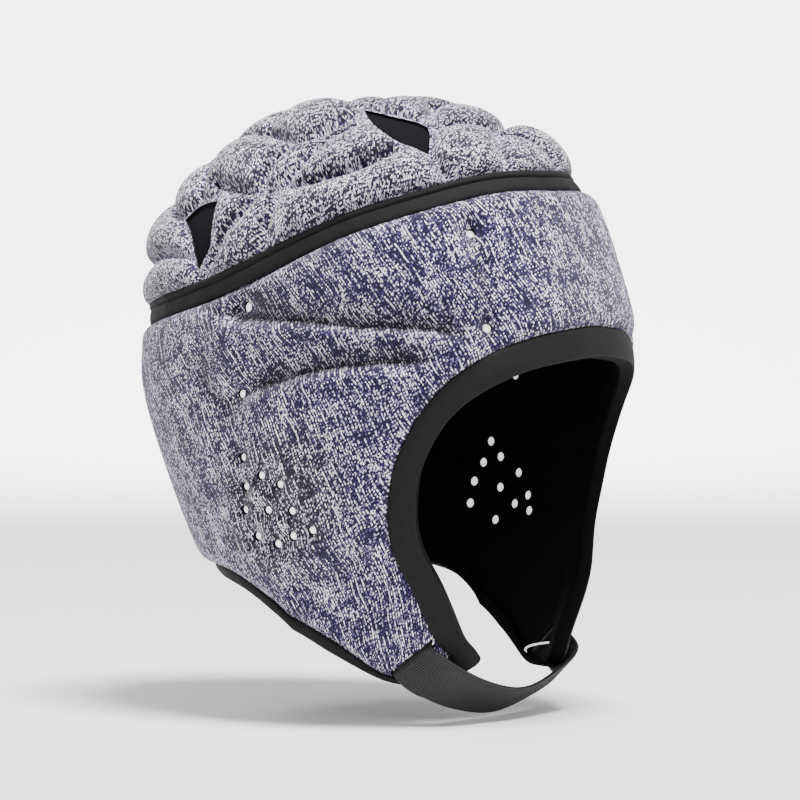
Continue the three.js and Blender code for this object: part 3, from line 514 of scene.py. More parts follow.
def side_padding(angle, depth, from_seam, from_edge, binding):
    """Thickness of the side panel's padding, how stretched its knit is there, and how much painted shade
    darkens it.
    """
    side = np.abs(angle)
    flap = smoothstep(depth, *FLAP_TAPER)
    full = SIDE_PADDING * (1 - flap) + FLAP_PADDING * flap
    swell = lambda away, reach: np.sqrt(1 - (1 - np.clip(away / reach, 0, 1)) ** 2)
    seam = swell(from_seam - BAND_HEIGHT * 0.5, SEAM_SWELL)
    edge = swell(from_edge - binding, EDGE_SWELL)
    thick = EDGE_PADDING + (full - EDGE_PADDING) * np.minimum(seam, edge)
    sunk, swollen, hollow = side_folds(side, depth)
    wide = (side - EAR_BUMP["angle"]) * DEGREE / EAR_BUMP["half_width"]
    high = (depth - EAR_BUMP["depth"]) * FLAP_DEPTH / EAR_BUMP["half_height"]
    ear = np.exp(-(wide ** 2 + high ** 2) ** 2)
    bump = EAR_BUMP["lift"] * ear
    for name, sign in SIDES.items():
        for hole in EAR_HOLES + SINGLE_HOLES:
            at = hole[name]
            away = np.hypot((angle * sign - at[0]) * DEGREE, (depth - at[1]) * FLAP_DEPTH)
            reach = EAR_DIMPLE if hole in EAR_HOLES else SINGLE_DIMPLE
            bump = bump - DIMPLE_SINK * np.exp(-(away / reach) ** 2)
            # Painted shade in each hole's dimple
            hollow = np.maximum(hollow, DIMPLE_PAINTED_SHADE * np.exp(-(away / DIMPLE_SHADE_REACH) ** 2))
    return np.maximum(thick - sunk + swollen + bump, THINNEST_PADDING), ear, hollow


def panel_column(place, sign):
    """A column of the side panel: a reading of angle and depth by share, and its length."""
    top, mid_angle, mid_depth, end_angle, end_depth = (
        float(read_table(PANEL, "row", column, place)) for column in list(PANEL[0])[1:])

    def bend(t):
        a, b, c = (1 - t) * (1 - 2 * t), 4 * t * (1 - t), t * (2 * t - 1)
        return sign * (a * top + b * mid_angle + c * end_angle), b * mid_depth + c * end_depth

    ticks = np.linspace(0, 1, 29)
    run = run_along(side_base(*bend(ticks)))

    def at(share):
        return bend(np.interp(share * run[-1], run, ticks))

    binding = FACE_BINDING_WIDTH if place < FACE_END else NAPE_BINDING_WIDTH
    return {"at": at, "length": run[-1], "place": place, "sign": sign, "binding": binding}


def panel_places(spacing):
    """Places round one half, close enough everywhere for facets of that size."""
    places = [0.0]
    for row, following in zip(PANEL, PANEL[1:]):
        widths = []
        for angle, depth in (("top", None), ("mid_angle", "mid_depth"), ("end_angle", "end_depth")):
            spots = [side_base(r[angle], r.get(depth, 0)) for r in (row, following)]
            widths.append(np.linalg.norm(spots[0] - spots[1]))
        count = max(2, math.ceil(max(widths) / spacing))
        places.extend(row["row"] + (i + 1) / count for i in range(count))
    return places


def panel_columns(spacing):
    """Columns round the whole ring, from the middle of the back over the right side and home."""
    places = panel_places(spacing)
    right = [panel_column(place, -1) for place in reversed(places)]
    left = [panel_column(place, 1) for place in places[1:-1]]
    return right + left


def worn(points):
    """Points of the head form's own frame, in millimetres, brought to the worn pose in metres."""
    c, s = math.cos(WORN_PITCH), math.sin(WORN_PITCH)
    rings = np.arange(0, 0.6, 0.002)
    inside = crown_point(np.zeros_like(rings), rings, np.zeros_like(rings))
    seat = inside[np.argmax(inside[:, 2] * c - inside[:, 1] * s)]
    moved = np.asarray(points) - seat
    x, y, z = moved[..., 0], moved[..., 1], moved[..., 2]
    return np.stack([x, y * c + z * s, -y * s + z * c], -1) * 0.001


def add_object(name, data):
    made = bpy.data.objects.new(name, data)
    bpy.context.scene.collection.objects.link(made)
    return made


def shade_smooth(mesh):
    mesh.polygons.foreach_set("use_smooth", np.ones(len(mesh.polygons), bool))


def take_slot(piece):
    """Makes a piece ride with the cap."""
    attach(piece, "root")
    return piece


def make_piece(name, points, faces, materials, uv, values=None, fan=None):
    """A mesh object from points in the head form's frame: quads, with a fan of triangles if given.
    uv holds a pair for each corner of the quads, and then of the fan."""
    placed = worn(points)
    mesh = bpy.data.meshes.new(name)
    corners = faces.ravel()
    starts = np.arange(0, corners.size, faces.shape[1])
    if fan is not None:
        starts = np.concatenate([starts, corners.size + np.arange(0, fan.size, 3)])
        corners = np.concatenate([corners, fan.ravel()])
    mesh.vertices.add(len(placed))
    mesh.vertices.foreach_set("co", placed.astype(np.float32).ravel())
    mesh.loops.add(len(corners))
    mesh.loops.foreach_set("vertex_index", corners.astype(np.int32))
    mesh.polygons.add(len(starts))
    mesh.polygons.foreach_set("loop_start", starts.astype(np.int32))
    layer = mesh.uv_layers.new(name="cloth")
    layer.data.foreach_set("uv", uv.astype(np.float32).ravel())
    for key, value in (values or {}).items():
        attribute = mesh.attributes.new(key, "FLOAT", "POINT")
        attribute.data.foreach_set("value", value.astype(np.float32))
    mesh.update(calc_edges=True)
    mesh.validate()
    for material in materials:
        mesh.materials.append(material)
    shade_smooth(mesh)
    piece = add_object(name, mesh)
    mesh.set_sharp_from_angle(angle=SHARP_EDGE)
    return take_slot(piece)


def grid_faces(rows, columns, round_rows=False):
    """Corner numbers of the quads of a grid whose columns close to a ring, and its rows if asked."""
    r, c = np.meshgrid(np.arange(rows if round_rows else rows - 1), np.arange(columns), indexing="ij")
    r, c = r.ravel(), c.ravel()
    r1, c1 = (r + 1) % rows, (c + 1) % columns
    return np.stack([r * columns + c, r1 * columns + c, r1 * columns + c1, r * columns + c1], 1)


def turned_out(points, faces):
    """Quads, with their order turned where the solid would be inside out."""
    p = points[faces]
    normals = np.cross(p[:, 2] - p[:, 0], p[:, 3] - p[:, 1])
    volume = np.sum(p.mean(1) * normals)
    return faces if volume > 0 else faces[:, ::-1]


def end_caps(rows, count, shift):
    """Quads over both ends of a tube of rows of count points, each joining two points of its
    section to the two that lie across; the first and last point lie across with shift 1."""
    caps = []
    for row in (0, rows - 1):
        base = row * count
        cap = [[base + i, base + i + 1, base + count - shift - 1 - i, base + (count - shift - i) % count]
               for i in range(count // 2 - shift)]
        caps += cap if row else [quad[::-1] for quad in cap]
    return np.array(caps)


def cut(piece, cutter, wall):
    """Cuts a cutter out of a piece; the cut walls take the material wall."""
    piece.data.materials.append(wall)
    cutter.data.materials.clear()
    for material in piece.data.materials:
        cutter.data.materials.append(material)
    slots = np.full(len(cutter.data.polygons), len(piece.data.materials) - 1, np.int32)
    cutter.data.polygons.foreach_set("material_index", slots)
    modifier = piece.modifiers.new("cut", "BOOLEAN")
    modifier.operation = "DIFFERENCE"
    modifier.object = cutter
    modifier.solver = "MANIFOLD"
    depsgraph = bpy.context.evaluated_depsgraph_get()
    mesh = bpy.data.meshes.new_from_object(piece.evaluated_get(depsgraph))
    piece.modifiers.clear()
    old = piece.data
    piece.data = mesh
    mesh.name = old.name
    bpy.data.meshes.remove(old)
    mesh.set_sharp_from_angle(angle=SHARP_EDGE)


def loose_mesh(name, solids):
    """An object of closed solids, each a pair of points and faces, placed in the worn pose."""
    points, faces, count = [], [], 0
    for solid_points, solid_faces in solids:
        points.extend(worn(solid_points).tolist())
        faces.extend([[int(i) + count for i in face] for face in solid_faces])
        count += len(solid_points)
    mesh = bpy.data.meshes.new(name)
    mesh.from_pydata(points, [], faces)
    mesh.update()
    return add_object(name, mesh)


def prism(rings):
    """A closed solid through rings of equal length, capped at both ends and turned out."""
    count = len(rings[0])
    points = np.concatenate(rings)
    faces = []
    for r in range(len(rings) - 1):
        for c in range(count):
            d = (c + 1) % count
            faces.append([r * count + c, r * count + d, (r + 1) * count + d, (r + 1) * count + c])
    top = (len(rings) - 1) * count
    faces.append(list(range(count))[::-1])
    faces.append([top + c for c in range(count)])
    volume = 0.0
    for face in faces:
        corners = points[face]
        for i in range(1, len(face) - 1):
            volume += np.dot(corners[0], np.cross(corners[i], corners[i + 1]))
    return points, (faces if volume > 0 else [face[::-1] for face in faces])


def disc_rings(angle, depth, radius, offsets):
    """Rings round a hole's axis, one for each pair of an offset and a share of the radius."""
    at = side_point(angle, depth, 0)
    normal = side_normal(angle, depth)
    first = unit(np.cross(normal, [0.0, 0.0, 1.0]))
    second = np.cross(normal, first)
    turn = np.linspace(0, 2 * np.pi, 24, endpoint=False)[:, None]
    round_off = np.cos(turn) * first + np.sin(turn) * second
    return [at + normal * offset + round_off * radius * share for offset, share in offsets]


def hole_places():
    """Angle and depth of every punched hole, on both sides."""
    for name, sign in SIDES.items():
        for hole in EAR_HOLES + SINGLE_HOLES:
            yield sign * hole[name][0], hole[name][1]


def slot_frame(sign):
    """Middle of a flap's slot with its directions forwards, outwards and down."""
    point = side_point(sign * SLOT["angle"], SLOT["depth"], 0)
    normal = side_normal(sign * SLOT["angle"], SLOT["depth"])
    rear = side_point(sign * SLOT["rear_angle"], SLOT["rear_depth"], 0)
    forwards = point - rear
    forwards = unit(forwards - normal * np.dot(forwards, normal))
    down = unit(np.cross(forwards, normal))
    return point, normal, forwards, down if down[2] < 0 else -down


def hole_cutter():
    """Solids that punch the holes and the strap's slots through the side panel."""
    solids = []
    for angle, depth in hole_places():
        solids.append(prism(disc_rings(angle, depth, HOLE_DIAMETER / 2, [(-6, 1), (20, 1)])))
    for sign in SIDES.values():
        point, normal, forwards, down = slot_frame(sign)
        long, high = STRAP_WIDTH / 2 + SLOT_CLEARANCE, STRAP_THICKNESS / 2 + SLOT_CLEARANCE
        corners = [(-long, -high), (long, -high), (long, high), (-long, high)]
        rings = [[point + forwards * a + down * b + normal * out for a, b in corners]
                 for out in (-12, 12)]
        solids.append(prism(np.array(rings)))
    return loose_mesh("punch", solids)


def vent_cutter():
    """Solids that cut the vents through the crown."""
    solids = []
    for vent in CROWN_VENTS:
        corners = vent_outline(vent)
        for sign in SIDES.values():
            angle = np.degrees(np.arctan2(sign * corners[:, 0], -corners[:, 1]))
            ring = np.hypot(corners[:, 0], corners[:, 1])
            solids.append(prism([crown_point(angle, ring, np.full(len(ring), offset))
                                 for offset in (-3.0, 5.0, 16.0)]))
    return loose_mesh("vent_punch", solids)


def vent_outline(vent):
    """The outline of a vent with smooth sides between its sharp corners."""
    corners = vent["outline"]
    turns = []
    for i, corner in enumerate(corners):
        before = np.subtract(corner, corners[i - 1])
        after = np.subtract(corners[(i + 1) % len(corners)], corner)
        cosine = np.dot(before, after) / np.linalg.norm(before) / np.linalg.norm(after)
        turns.append(cosine < 0.55)
    sharp = [i for i, turn in enumerate(turns) if turn]
    points = []
    for first, last in zip(sharp, sharp[1:] + [sharp[0] + len(corners)]):
        run = [corners[i % len(corners)] for i in range(first, last + 1)]
        points.extend(rounded_path(run)[:-1])
    return np.array(points)


# Distance round the side panel from the brow, in millimetres, for each angle
ARC_ANGLES = np.linspace(-180, 180, 361)
ARC = run_along(side_base(ARC_ANGLES, np.full(len(ARC_ANGLES), 0.25)))
ARC = ARC - ARC[len(ARC) // 2]


def side_grid(columns, shares):
    """Angle, depth and the distances from the seam and the lower edge, for a grid of shares."""
    angle, depth = [], []
    for column in columns:
        a, d = column["at"](shares)
        angle.append(a)
        depth.append(d)
    length = np.array([column["length"] for column in columns])
    return (np.array(angle).T, np.array(depth).T,
            shares[:, None] * length, (1 - shares)[:, None] * length)


def wrap_cloth(cloth, faces, count):
    """Carries the cloth on over the faces that close a ring of count points."""
    place = faces % count
    closing = (place == count - 1).any(1)[:, None]
    cloth[..., 0] += ((place == 0) & closing) * (ARC[-1] - ARC[0])


def knit_values(stretch, hollow, back):
    """The knit's values at the outer skin's points, and none at the points of the back."""
    return {"stretch": np.concatenate([stretch.ravel(), np.zeros(back)]),
            "hollow": np.concatenate([hollow.ravel(), np.zeros(back)])}


def side_layer(name, inside, thickness, spacing, rows, inner_rows, materials):
    """A layer of the side panel with its outer skin and a coarser inner skin."""
    columns = panel_columns(spacing)
    start = CLEARANCE / 2 / COLUMN_LENGTH
    angle, depth, seam, edge = side_grid(columns, np.linspace(start, 1, rows))
    binding = np.array([column["binding"] for column in columns])
    thick, stretch, hollow = thickness(angle, depth, seam, edge, binding)
    outer = side_point(angle, depth, inside + thick)
    angle_in, depth_in, _, _ = side_grid(columns, np.linspace(1, start, inner_rows))
    inner = side_point(angle_in, depth_in, inside)
    points = np.concatenate([outer.reshape(-1, 3), inner.reshape(-1, 3)])
    faces = turned_out(points, grid_faces(rows + inner_rows, len(columns), True))
    down_cloth = np.concatenate([depth, depth_in]) * FLAP_DEPTH
    around_cloth = np.interp(np.concatenate([angle, angle_in]), ARC_ANGLES, ARC) - SIDE_LAY * down_cloth
    cloth = np.stack([around_cloth.ravel(), down_cloth.ravel()], 1)[faces]
    wrap_cloth(cloth, faces, len(columns))
    values = knit_values(stretch, hollow, inner.size // 3)
    return make_piece(name, points, faces, materials, cloth, values)


def crown_layer(name, inside, thickness, around, rings, inner_rings, materials):
    """A layer of the crown with its outer skin and a coarser inner skin."""
    last = 1 - CLEARANCE / 2 / MAP_UNIT
    turn = np.linspace(-180, 180, around, endpoint=False)
    ring, angle = np.meshgrid(np.linspace(FIRST_RING, last, rings), turn, indexing="ij")
    thick, stretch, hollow = thickness(angle, ring)
    outer = crown_point(angle, ring, inside + thick)
    ring_in, angle_in = np.meshgrid(np.linspace(last, FIRST_RING, inner_rings), turn, indexing="ij")
    inner = crown_point(angle_in, ring_in, inside)
    points = np.concatenate([outer.reshape(-1, 3), inner.reshape(-1, 3)])
    faces = grid_faces(rings + inner_rings, around)
    centre = len(points)
    points = np.vstack([points, outer[0].mean(0), inner[-1].mean(0)])
    first = np.arange(around)
    following = (first + 1) % around
    bottom = (rings + inner_rings - 1) * around
    caps = np.concatenate([
        np.stack([np.full(around, centre), first, following], 1),
        np.stack([np.full(around, centre + 1), bottom + following, bottom + first], 1)])
    every_ring = np.concatenate([ring, ring_in]).ravel()
    every_angle = np.radians(np.concatenate([angle, angle_in]).ravel()) - CROWN_LAY
    cloth = np.stack([every_ring * np.sin(every_angle), -every_ring * np.cos(every_angle)], 1) * MAP_UNIT
    cloth = np.vstack([cloth, [[0, 0], [0, 0]]])
    turned = turned_out(points, faces)
    if turned[0, 0] != faces[0, 0]:
        caps = caps[:, ::-1]
    uv = np.concatenate([cloth[turned].reshape(-1, 2), cloth[caps].reshape(-1, 2)])
    values = knit_values(stretch, hollow, inner.size // 3 + 2)
    return make_piece(name, points, turned, materials, uv, values, caps)


# Folded tape's section: number of the point on its fold, and how many lie hidden under its top; the
# faces between them take the near-black inner cloth as painted shade on the tape's inner side
LIP_FOLD = 12
LIP_HIDDEN = 6


def lip_section(width, outside, inside):
    """Section of a folded tape: pairs of distance from the edge and offset, outer then inner line."""
    thick = BINDING_THICKNESS
    top, bottom = outside + thick, inside - thick
    round_over = [(-CLEARANCE - thick * math.sin(t), top - thick * (1 - math.cos(t)))
                  for t in np.linspace(0, math.pi / 2, 6)]
    round_under = [(-CLEARANCE - thick * math.cos(t), bottom + thick * (1 - math.sin(t)))
                   for t in np.linspace(0, math.pi / 2, 5)]
    outer = [(width, top - 0.85), (width - 0.12, top - 0.3), (width - 0.5, top + 0.05),
             (width * 0.86, top + 0.3), (width * 0.6, top + 0.55), (width * 0.35, top + 0.5),
             (width * 0.14, top + 0.25), *round_over, *round_under,
             (width * 0.4, bottom), (width - 0.4, bottom), (width, bottom + 0.4)]
    inner = [(width, outside), *((width * share, outside) for share in (0.9, 0.8, 0.6, 0.4, 0.2)),
             (0.3, outside)]
    inner += [(-CLEARANCE, outside - (outside - inside) * t) for t in np.linspace(0, 1, len(outer) - 11)]
    inner += [*((width * share, inside) for share in (0.3, 0.6, 0.9)), (width, inside)]
    return outer, inner


def edge_binding(name, columns, materials):
    """Folded tape round an edge of the side panel, along the columns given."""
    outside = PAD_INSIDE + EDGE_PADDING + BINDING_CLEARANCE
    inside = -BINDING_CLEARANCE
    angle, depth, lift, over, leads = [], [], [], [], []
    for column in columns:
        outer, inner = lip_section(column["binding"], outside, inside)
        spots = np.array(outer + inner[::-1])
        a, d = column["at"](np.minimum(1 - spots[:, 0] / column["length"], 1))
        angle.append(a)
        depth.append(d)
        lift.append(spots[:, 1])
        over.append(np.maximum(-spots[:, 0], 0))
        leads.append(column["at"](np.array([0.985, 1.0])))
    angle, depth, lift, over, leads = (np.array(v) for v in (angle, depth, lift, over, leads))
    points = side_point(angle, depth, lift)
    before, last = (side_point(leads[:, 0, k][:, None], leads[:, 1, k][:, None], lift) for k in (0, 1))
    points = points + unit(last - before) * over[..., None]
    count = points.shape[1]
    flat = points.reshape(-1, 3)
    faces = grid_faces(len(columns), count)
    place = faces[:, 0] % count
    faces = turned_out(flat, np.concatenate([faces, end_caps(len(columns), count, 1)]))
    run = run_along(points[:, LIP_FOLD])
    cloth = np.stack([np.repeat(run, count), np.tile(run_along(points[0]), len(columns))], 1)
    piece = make_piece(name, flat, faces, materials, cloth[faces])
    # Painted shade: from the fold round to the hidden points the tape takes the near-black inner cloth
    slots = np.zeros(len(faces), np.int32)
    slots[:len(place)] = (place >= LIP_FOLD - 1) & (place < count - LIP_HIDDEN)
    piece.data.polygons.foreach_set("material_index", slots)
    return piece


# Section of the band: shares of half its height, and shares of its thickness
BAND_SECTION = [(-1, 0), (-1.02, 0.25), (-0.97, 0.55), (-0.86, 0.78), (-0.7, 0.93), (-0.5, 1.02),
                (-0.25, 1.05), (0.0, 1.0), (0.2, 0.88), (0.32, 0.66), (0.38, 0.5), (0.44, 0.6),
                (0.54, 0.8), (0.68, 0.9), (0.82, 0.82), (0.93, 0.6), (1.0, 0.3), (1, 0)]


def seam_band(material):
    """Piped band over the crown seam: a broad lower ridge and a narrow upper cord."""
    base = PAD_INSIDE + EDGE_PADDING + CLEARANCE
    sides = 480
    turn = np.linspace(-180, 180, sides, endpoint=False)
    ripple = 0.12 * np.sin(np.radians(turn * 23)) + 0.1 * np.sin(np.radians(turn * 41 + 60))
    along = [height * BAND_HEIGHT / 2 for height, _ in BAND_SECTION]
    rows = []
    for (height, thick), run in zip(BAND_SECTION, along):
        offset = base + thick * (BAND_THICKNESS + ripple * (abs(height) < 0.95))
        if run >= 0:
            rows.append(crown_point(turn, np.full(sides, 1 - run / MAP_UNIT), offset))
        else:
            rows.append(side_point(turn, np.full(sides, -run / FLAP_DEPTH), offset))
    flat = np.array(rows).reshape(-1, 3)
    faces = turned_out(flat, grid_faces(len(rows), sides, True))
    length = np.interp(turn, ARC_ANGLES, ARC)
    cloth = np.stack([np.tile(length, len(rows)), np.repeat(along, sides)], 1)[faces]
    wrap_cloth(cloth, faces, sides)
    return make_piece("seam_band", flat, faces, [material], cloth)


def strap_points():
    """Middle line of the strap: out through one slot, under the chin and in at the other slot.

    Also gives the way the strap's width points at its start, its middle and its end."""
    halves = {}
    outside = PAD_INSIDE + FLAP_PADDING + CLEARANCE + STRAP_THICKNESS / 2 + 0.5
    route = [(0, CLEARANCE), (0, outside - STRAP_BEND - 0.4),
             (0.6, outside - 0.5), (STRAP_BEND * 1.6, outside)]
    for sign in (-1, 1):
        point, normal, forwards, down = slot_frame(sign)
        spots = [point + down * along + normal * out for along, out in route]
        spots.append(point + down * STRAP_LAY + normal * (outside + STRAP_LIFT) + forwards * STRAP_TURN)
        halves[sign] = (forwards, spots)
    up = np.array([0, -math.sin(WORN_PITCH), math.cos(WORN_PITCH)])
    ahead = np.array([0, -math.cos(WORN_PITCH), -math.sin(WORN_PITCH)])
    leave = halves[-1][1][-1]
    level = np.array([0, leave[1], leave[2]])
    middle = level - up * STRAP_DROP + ahead * STRAP_REACH
    shoulders = []
    for sign in (-1, 1):
        spot = middle * 0.64 + level * 0.36
        spot[0] = sign * abs(leave[0]) * 0.56
        shoulders.append(spot)
    points = halves[-1][1] + [shoulders[0], middle, shoulders[1]] + halves[1][1][::-1]
    width = unit(ahead * 0.84 + up * 0.54)
    return points, (halves[-1][0], width, halves[1][0])


def chin_strap(material):
    """The strap's webbing, laid flat along its middle line."""
    points, widths = strap_points()
    line, at = smooth_line(points, 9)
    last = len(points) - 1
    middle = last / 2
    tangent = unit(np.gradient(line, axis=0))
    toward = smoothstep(np.minimum(at, last - at), 4, middle)[:, None]
    first = np.where(at[:, None] <= middle, widths[0], widths[2])
    width = first * (1 - toward) + widths[1] * toward
    width = unit(width - tangent * np.sum(width * tangent, 1, keepdims=True))
    face = np.cross(tangent, width)
    profile = []
    for t in np.linspace(0, 2 * np.pi, 40, endpoint=False):
        w = signed_power(math.cos(t), 0.25)
        rise = 0.86 - 0.1 * abs(w) ** 6
        thick = signed_power(math.sin(t), 0.5) * STRAP_THICKNESS / 2 * rise
        profile.append((w * STRAP_WIDTH / 2, thick))
    profile = np.array(profile)
    rings = (line[:, None] + width[:, None] * profile[None, :, :1]
             + face[:, None] * profile[None, :, 1:])
    count = len(profile)
    flat = rings.reshape(-1, 3)
    faces = np.concatenate([grid_faces(len(line), count), end_caps(len(line), count, 0)])
    faces = turned_out(flat, faces)
    cloth = np.stack([np.tile(profile[:, 0], len(line)), np.repeat(run_along(line), count)], 1)
    return make_piece("strap_webbing", flat, faces, [material], cloth[faces])


def new_node(tree, kind, **settings):
    node = tree.nodes.new(kind)
    for key, value in settings.items():
        setattr(node, key, value)
    return node


def feed(node, socket, value):
    """Puts a value on a node's socket, or links another node's output to it."""
    if isinstance(value, bpy.types.NodeSocket):
        node.id_data.links.new(value, node.inputs[socket])
    else:
        node.inputs[socket].default_value = value


def after(kind, *values, **settings):
    """A new node in the shader tree of the first value that is another node's output."""
    tree = next(value.id_data for value in values if isinstance(value, bpy.types.NodeSocket))
    return new_node(tree, kind, **settings)


def maths(operation, *values):
    node = after("ShaderNodeMath", *values, operation=operation)
    for i, value in enumerate(values):
        feed(node, i, value)
    return node.outputs[0]


def times(first, second):
    return maths("MULTIPLY", first, second)


def minus(first, second):
    return maths("SUBTRACT", first, second)


def plus(*values):
    total = values[0]
    for value in values[1:]:
        total = maths("ADD", total, value)
    return total


def scaled(value, factor, shift):
    """The value times factor, plus shift."""
    return plus(times(value, factor), shift)


def rounded(place, power):
    """Height of a rounded thread at a place: 1 in its middle, falling to 0 at its sides."""
    from_middle = maths("ABSOLUTE", minus(maths("FRACT", place), 0.5))
    return minus(1.0, maths("POWER", times(from_middle, 2.0), power))


def every(number, count):
    """1 where a thread's number divides by count, and 0 elsewhere."""
    positive = plus(number, 4000.0)
    return maths("LESS_THAN", maths("MODULO", positive, count), 0.5)


def white_noise(dimensions, socket, value):
    node = after("ShaderNodeTexWhiteNoise", value, noise_dimensions=dimensions)
    feed(node, socket, value)
    return node.outputs["Value"]


def pair(x, y, z=0.0):
    node = after("ShaderNodeCombineXYZ", x)
    for i, value in enumerate((x, y, z)):
        feed(node, i, value)
    return node.outputs[0]


def split(vector):
    node = after("ShaderNodeSeparateXYZ", vector)
    feed(node, 0, vector)
    return node.outputs[0], node.outputs[1]


def noise(vector, scale=1.0, detail=2.0, roughness=0.5):
    node = after("ShaderNodeTexNoise", vector)
    feed(node, "Vector", vector)
    feed(node, "Scale", scale)
    feed(node, "Detail", detail)
    feed(node, "Roughness", roughness)
    return node.outputs["Fac"]


def mixed(share, first, second, blend="MIX"):
    """Two colours mixed; 6 and 7 are the colour sockets of the node."""
    node = after("ShaderNodeMix", share, first, data_type="RGBA", blend_type=blend)
    for socket, value in ((0, share), (6, first), (7, second)):
        feed(node, socket, value)
    return node.outputs[2]


def colour(red, green, blue):
    """A colour given as it looks on a screen, from 0 to 255, as the shader needs it."""
    linear = [v / 255 / 12.92 if v <= 10 else ((v / 255 + 0.055) / 1.055) ** 2.4
              for v in (red, green, blue)]
    return (*linear, 1.0)


def ramp(value, stops):
    node = after("ShaderNodeValToRGB", value)
    feed(node, 0, value)
    elements = node.color_ramp.elements
    while len(elements) < len(stops):
        elements.new(0.5)
    for element, (place, shade) in zip(elements, stops):
        element.position = place
        element.color = shade
    return node.outputs[0]


def start_group(name, **inputs):
    """A shader group that takes cloth coordinates and the inputs named, and gives a colour and a
    height; gives its tree and its inner sockets."""
    tree = bpy.data.node_groups.new(name, "ShaderNodeTree")
    tree.interface.new_socket(name="Cloth", in_out="INPUT", socket_type="NodeSocketVector")
    for socket, value in inputs.items():
        kind = "NodeSocketFloat" if isinstance(value, float) else "NodeSocketColor"
        tree.interface.new_socket(name=socket, in_out="INPUT", socket_type=kind).default_value = value
    tree.interface.new_socket(name="Color", in_out="OUTPUT", socket_type="NodeSocketColor")
    tree.interface.new_socket(name="Height", in_out="OUTPUT", socket_type="NodeSocketFloat")
    return tree, new_node(tree, "NodeGroupInput").outputs


def end_group(tree, **values):
    result = new_node(tree, "NodeGroupOutput")
    for socket, value in values.items():
        feed(result, socket, value)
    return tree


def place_group(tree, group, **values):
    node = new_node(tree, "ShaderNodeGroup")
    node.node_tree = group
    for socket, value in values.items():
        feed(node, socket, value)
    return node


def new_material(name, roughness, specular=0.5):
    """A material and its shader."""
    material = bpy.data.materials.new(name)
    material.use_nodes = True
    shader = material.node_tree.nodes["Principled BSDF"]
    feed(shader, "Roughness", roughness)
    feed(shader, "Specular IOR Level", specular)
    return material, shader


def add_relief(shader, height, strength, distance):
    relief = after("ShaderNodeBump", height)
    feed(relief, "Strength", strength)
    feed(relief, "Distance", distance)
    feed(relief, "Height", height)
    feed(shader, "Normal", relief.outputs[0])


# Marks of the heather yarn: how dense across and along the ribs, how detailed and how strong
YARN_MARKS = [(1.1, 0.1, 3.0, 0.85), (2.4, 0.9, 2.0, 0.45), (0.12, 0.07, 3.0, 0.75)]

# Colours from the darkest to the lightest yarn, where the knit lies loose and where it is stretched
STOPS = (0.06, 0.3, 0.46, 0.6, 0.76, 0.97)
LOOSE_KNIT = [
    (9, 3, 42), (32, 20, 76), (66, 54, 100), (102, 92, 128), (156, 147, 179), (248, 242, 254)]
STRETCHED_KNIT = [
    (16, 12, 24), (42, 35, 52), (72, 64, 80), (104, 97, 110), (156, 149, 160), (250, 246, 250)]


def heather_group():
    """Heather knit: light and dark stitches in streaky ribs. Cloth is in millimetres, ribs along y.
    Every fourth rib shows a pale thread, and every other one is a little lighter."""
    tree, given = start_group("heather knit", Stretch=0.0, Hollow=0.0, Contrast=2.0, Rib=0.74,
                              Course=0.9, Stitches=0.6, Streaks=1.0, Lightness=0.03)
    wander = noise(given["Cloth"], 0.05, 2.0)
    across_cloth, v = split(given["Cloth"])
    u = plus(across_cloth, times(wander, 6.0))
    wale = maths("DIVIDE", u, given["Rib"])
    number = maths("FLOOR", wale)
    lean = times(maths("FRACT", wale), 0.7)
    offset = white_noise("1D", "W", number)
    course = plus(maths("DIVIDE", v, given["Course"]), lean, offset)
    stitch = white_noise("2D", "Vector", pair(number, maths("FLOOR", course)))
    shown = noise(pair(number, times(v, 0.09), 7.0), 1.0, 1.0)
    pale_thread = times(every(number, 4.0), maths("GREATER_THAN", shown, 0.47))
    marks = [(pale_thread, 0.22), (every(number, 2.0), 0.14)]
    for wide, high, detail, weight in YARN_MARKS:
        marks.append((noise(pair(times(u, wide), times(v, high)), 1.0, detail, 0.6), weight))
    tone = plus(times(minus(stitch, 0.5), given["Stitches"]), given["Lightness"])
    for value, weight in marks:
        tone = plus(tone, times(times(minus(value, 0.5), weight), given["Streaks"]))
    tone = scaled(tone, given["Contrast"], 0.5)
    loose, stretched = (ramp(tone, [(stop, colour(*shade)) for stop, shade in zip(STOPS, shades)])
                        for shades in (LOOSE_KNIT, STRETCHED_KNIT))
    shade = mixed(times(given["Stretch"], 0.75), loose, stretched)
    groove = scaled(maths("PINGPONG", wale, 1.0), 0.5, 0.5)
    height = times(times(rounded(wale, 3.0), rounded(course, 3.0)), groove)
    # Painted shade: the colour is darkened between the stitches and where the piece gives painted shade
    painted_shade_factor = minus(1.0, times(given["Hollow"], 0.82))
    stitch_and_painted_shade = times(scaled(height, 0.7, 0.52), painted_shade_factor)
    return end_group(tree, Color=mixed(1.0, shade, pair(stitch_and_painted_shade, stitch_and_painted_shade, stitch_and_painted_shade), "MULTIPLY"), Height=height)


def weave_group():
    """Plain woven tape: fine crossing threads. Cloth is in millimetres."""
    tree, given = start_group("tape weave", Thread=0.45, Dark=colour(4, 4, 4), Light=colour(21, 21, 22))
    turn = maths("DIVIDE", math.pi, given["Thread"])
    warp, weft = (maths("SINE", times(way, turn)) for way in split(given["Cloth"]))
    height = scaled(times(warp, weft), 0.5, 0.5)
    cloud = noise(given["Cloth"], 0.12, 3.0, 0.6)
    grain = noise(given["Cloth"], 2.2, 2.0, 0.7)
    share = plus(times(height, 0.35), plus(times(cloud, 0.35), times(grain, 0.35)))
    return end_group(tree, Color=mixed(share, given["Dark"], given["Light"]), Height=height)


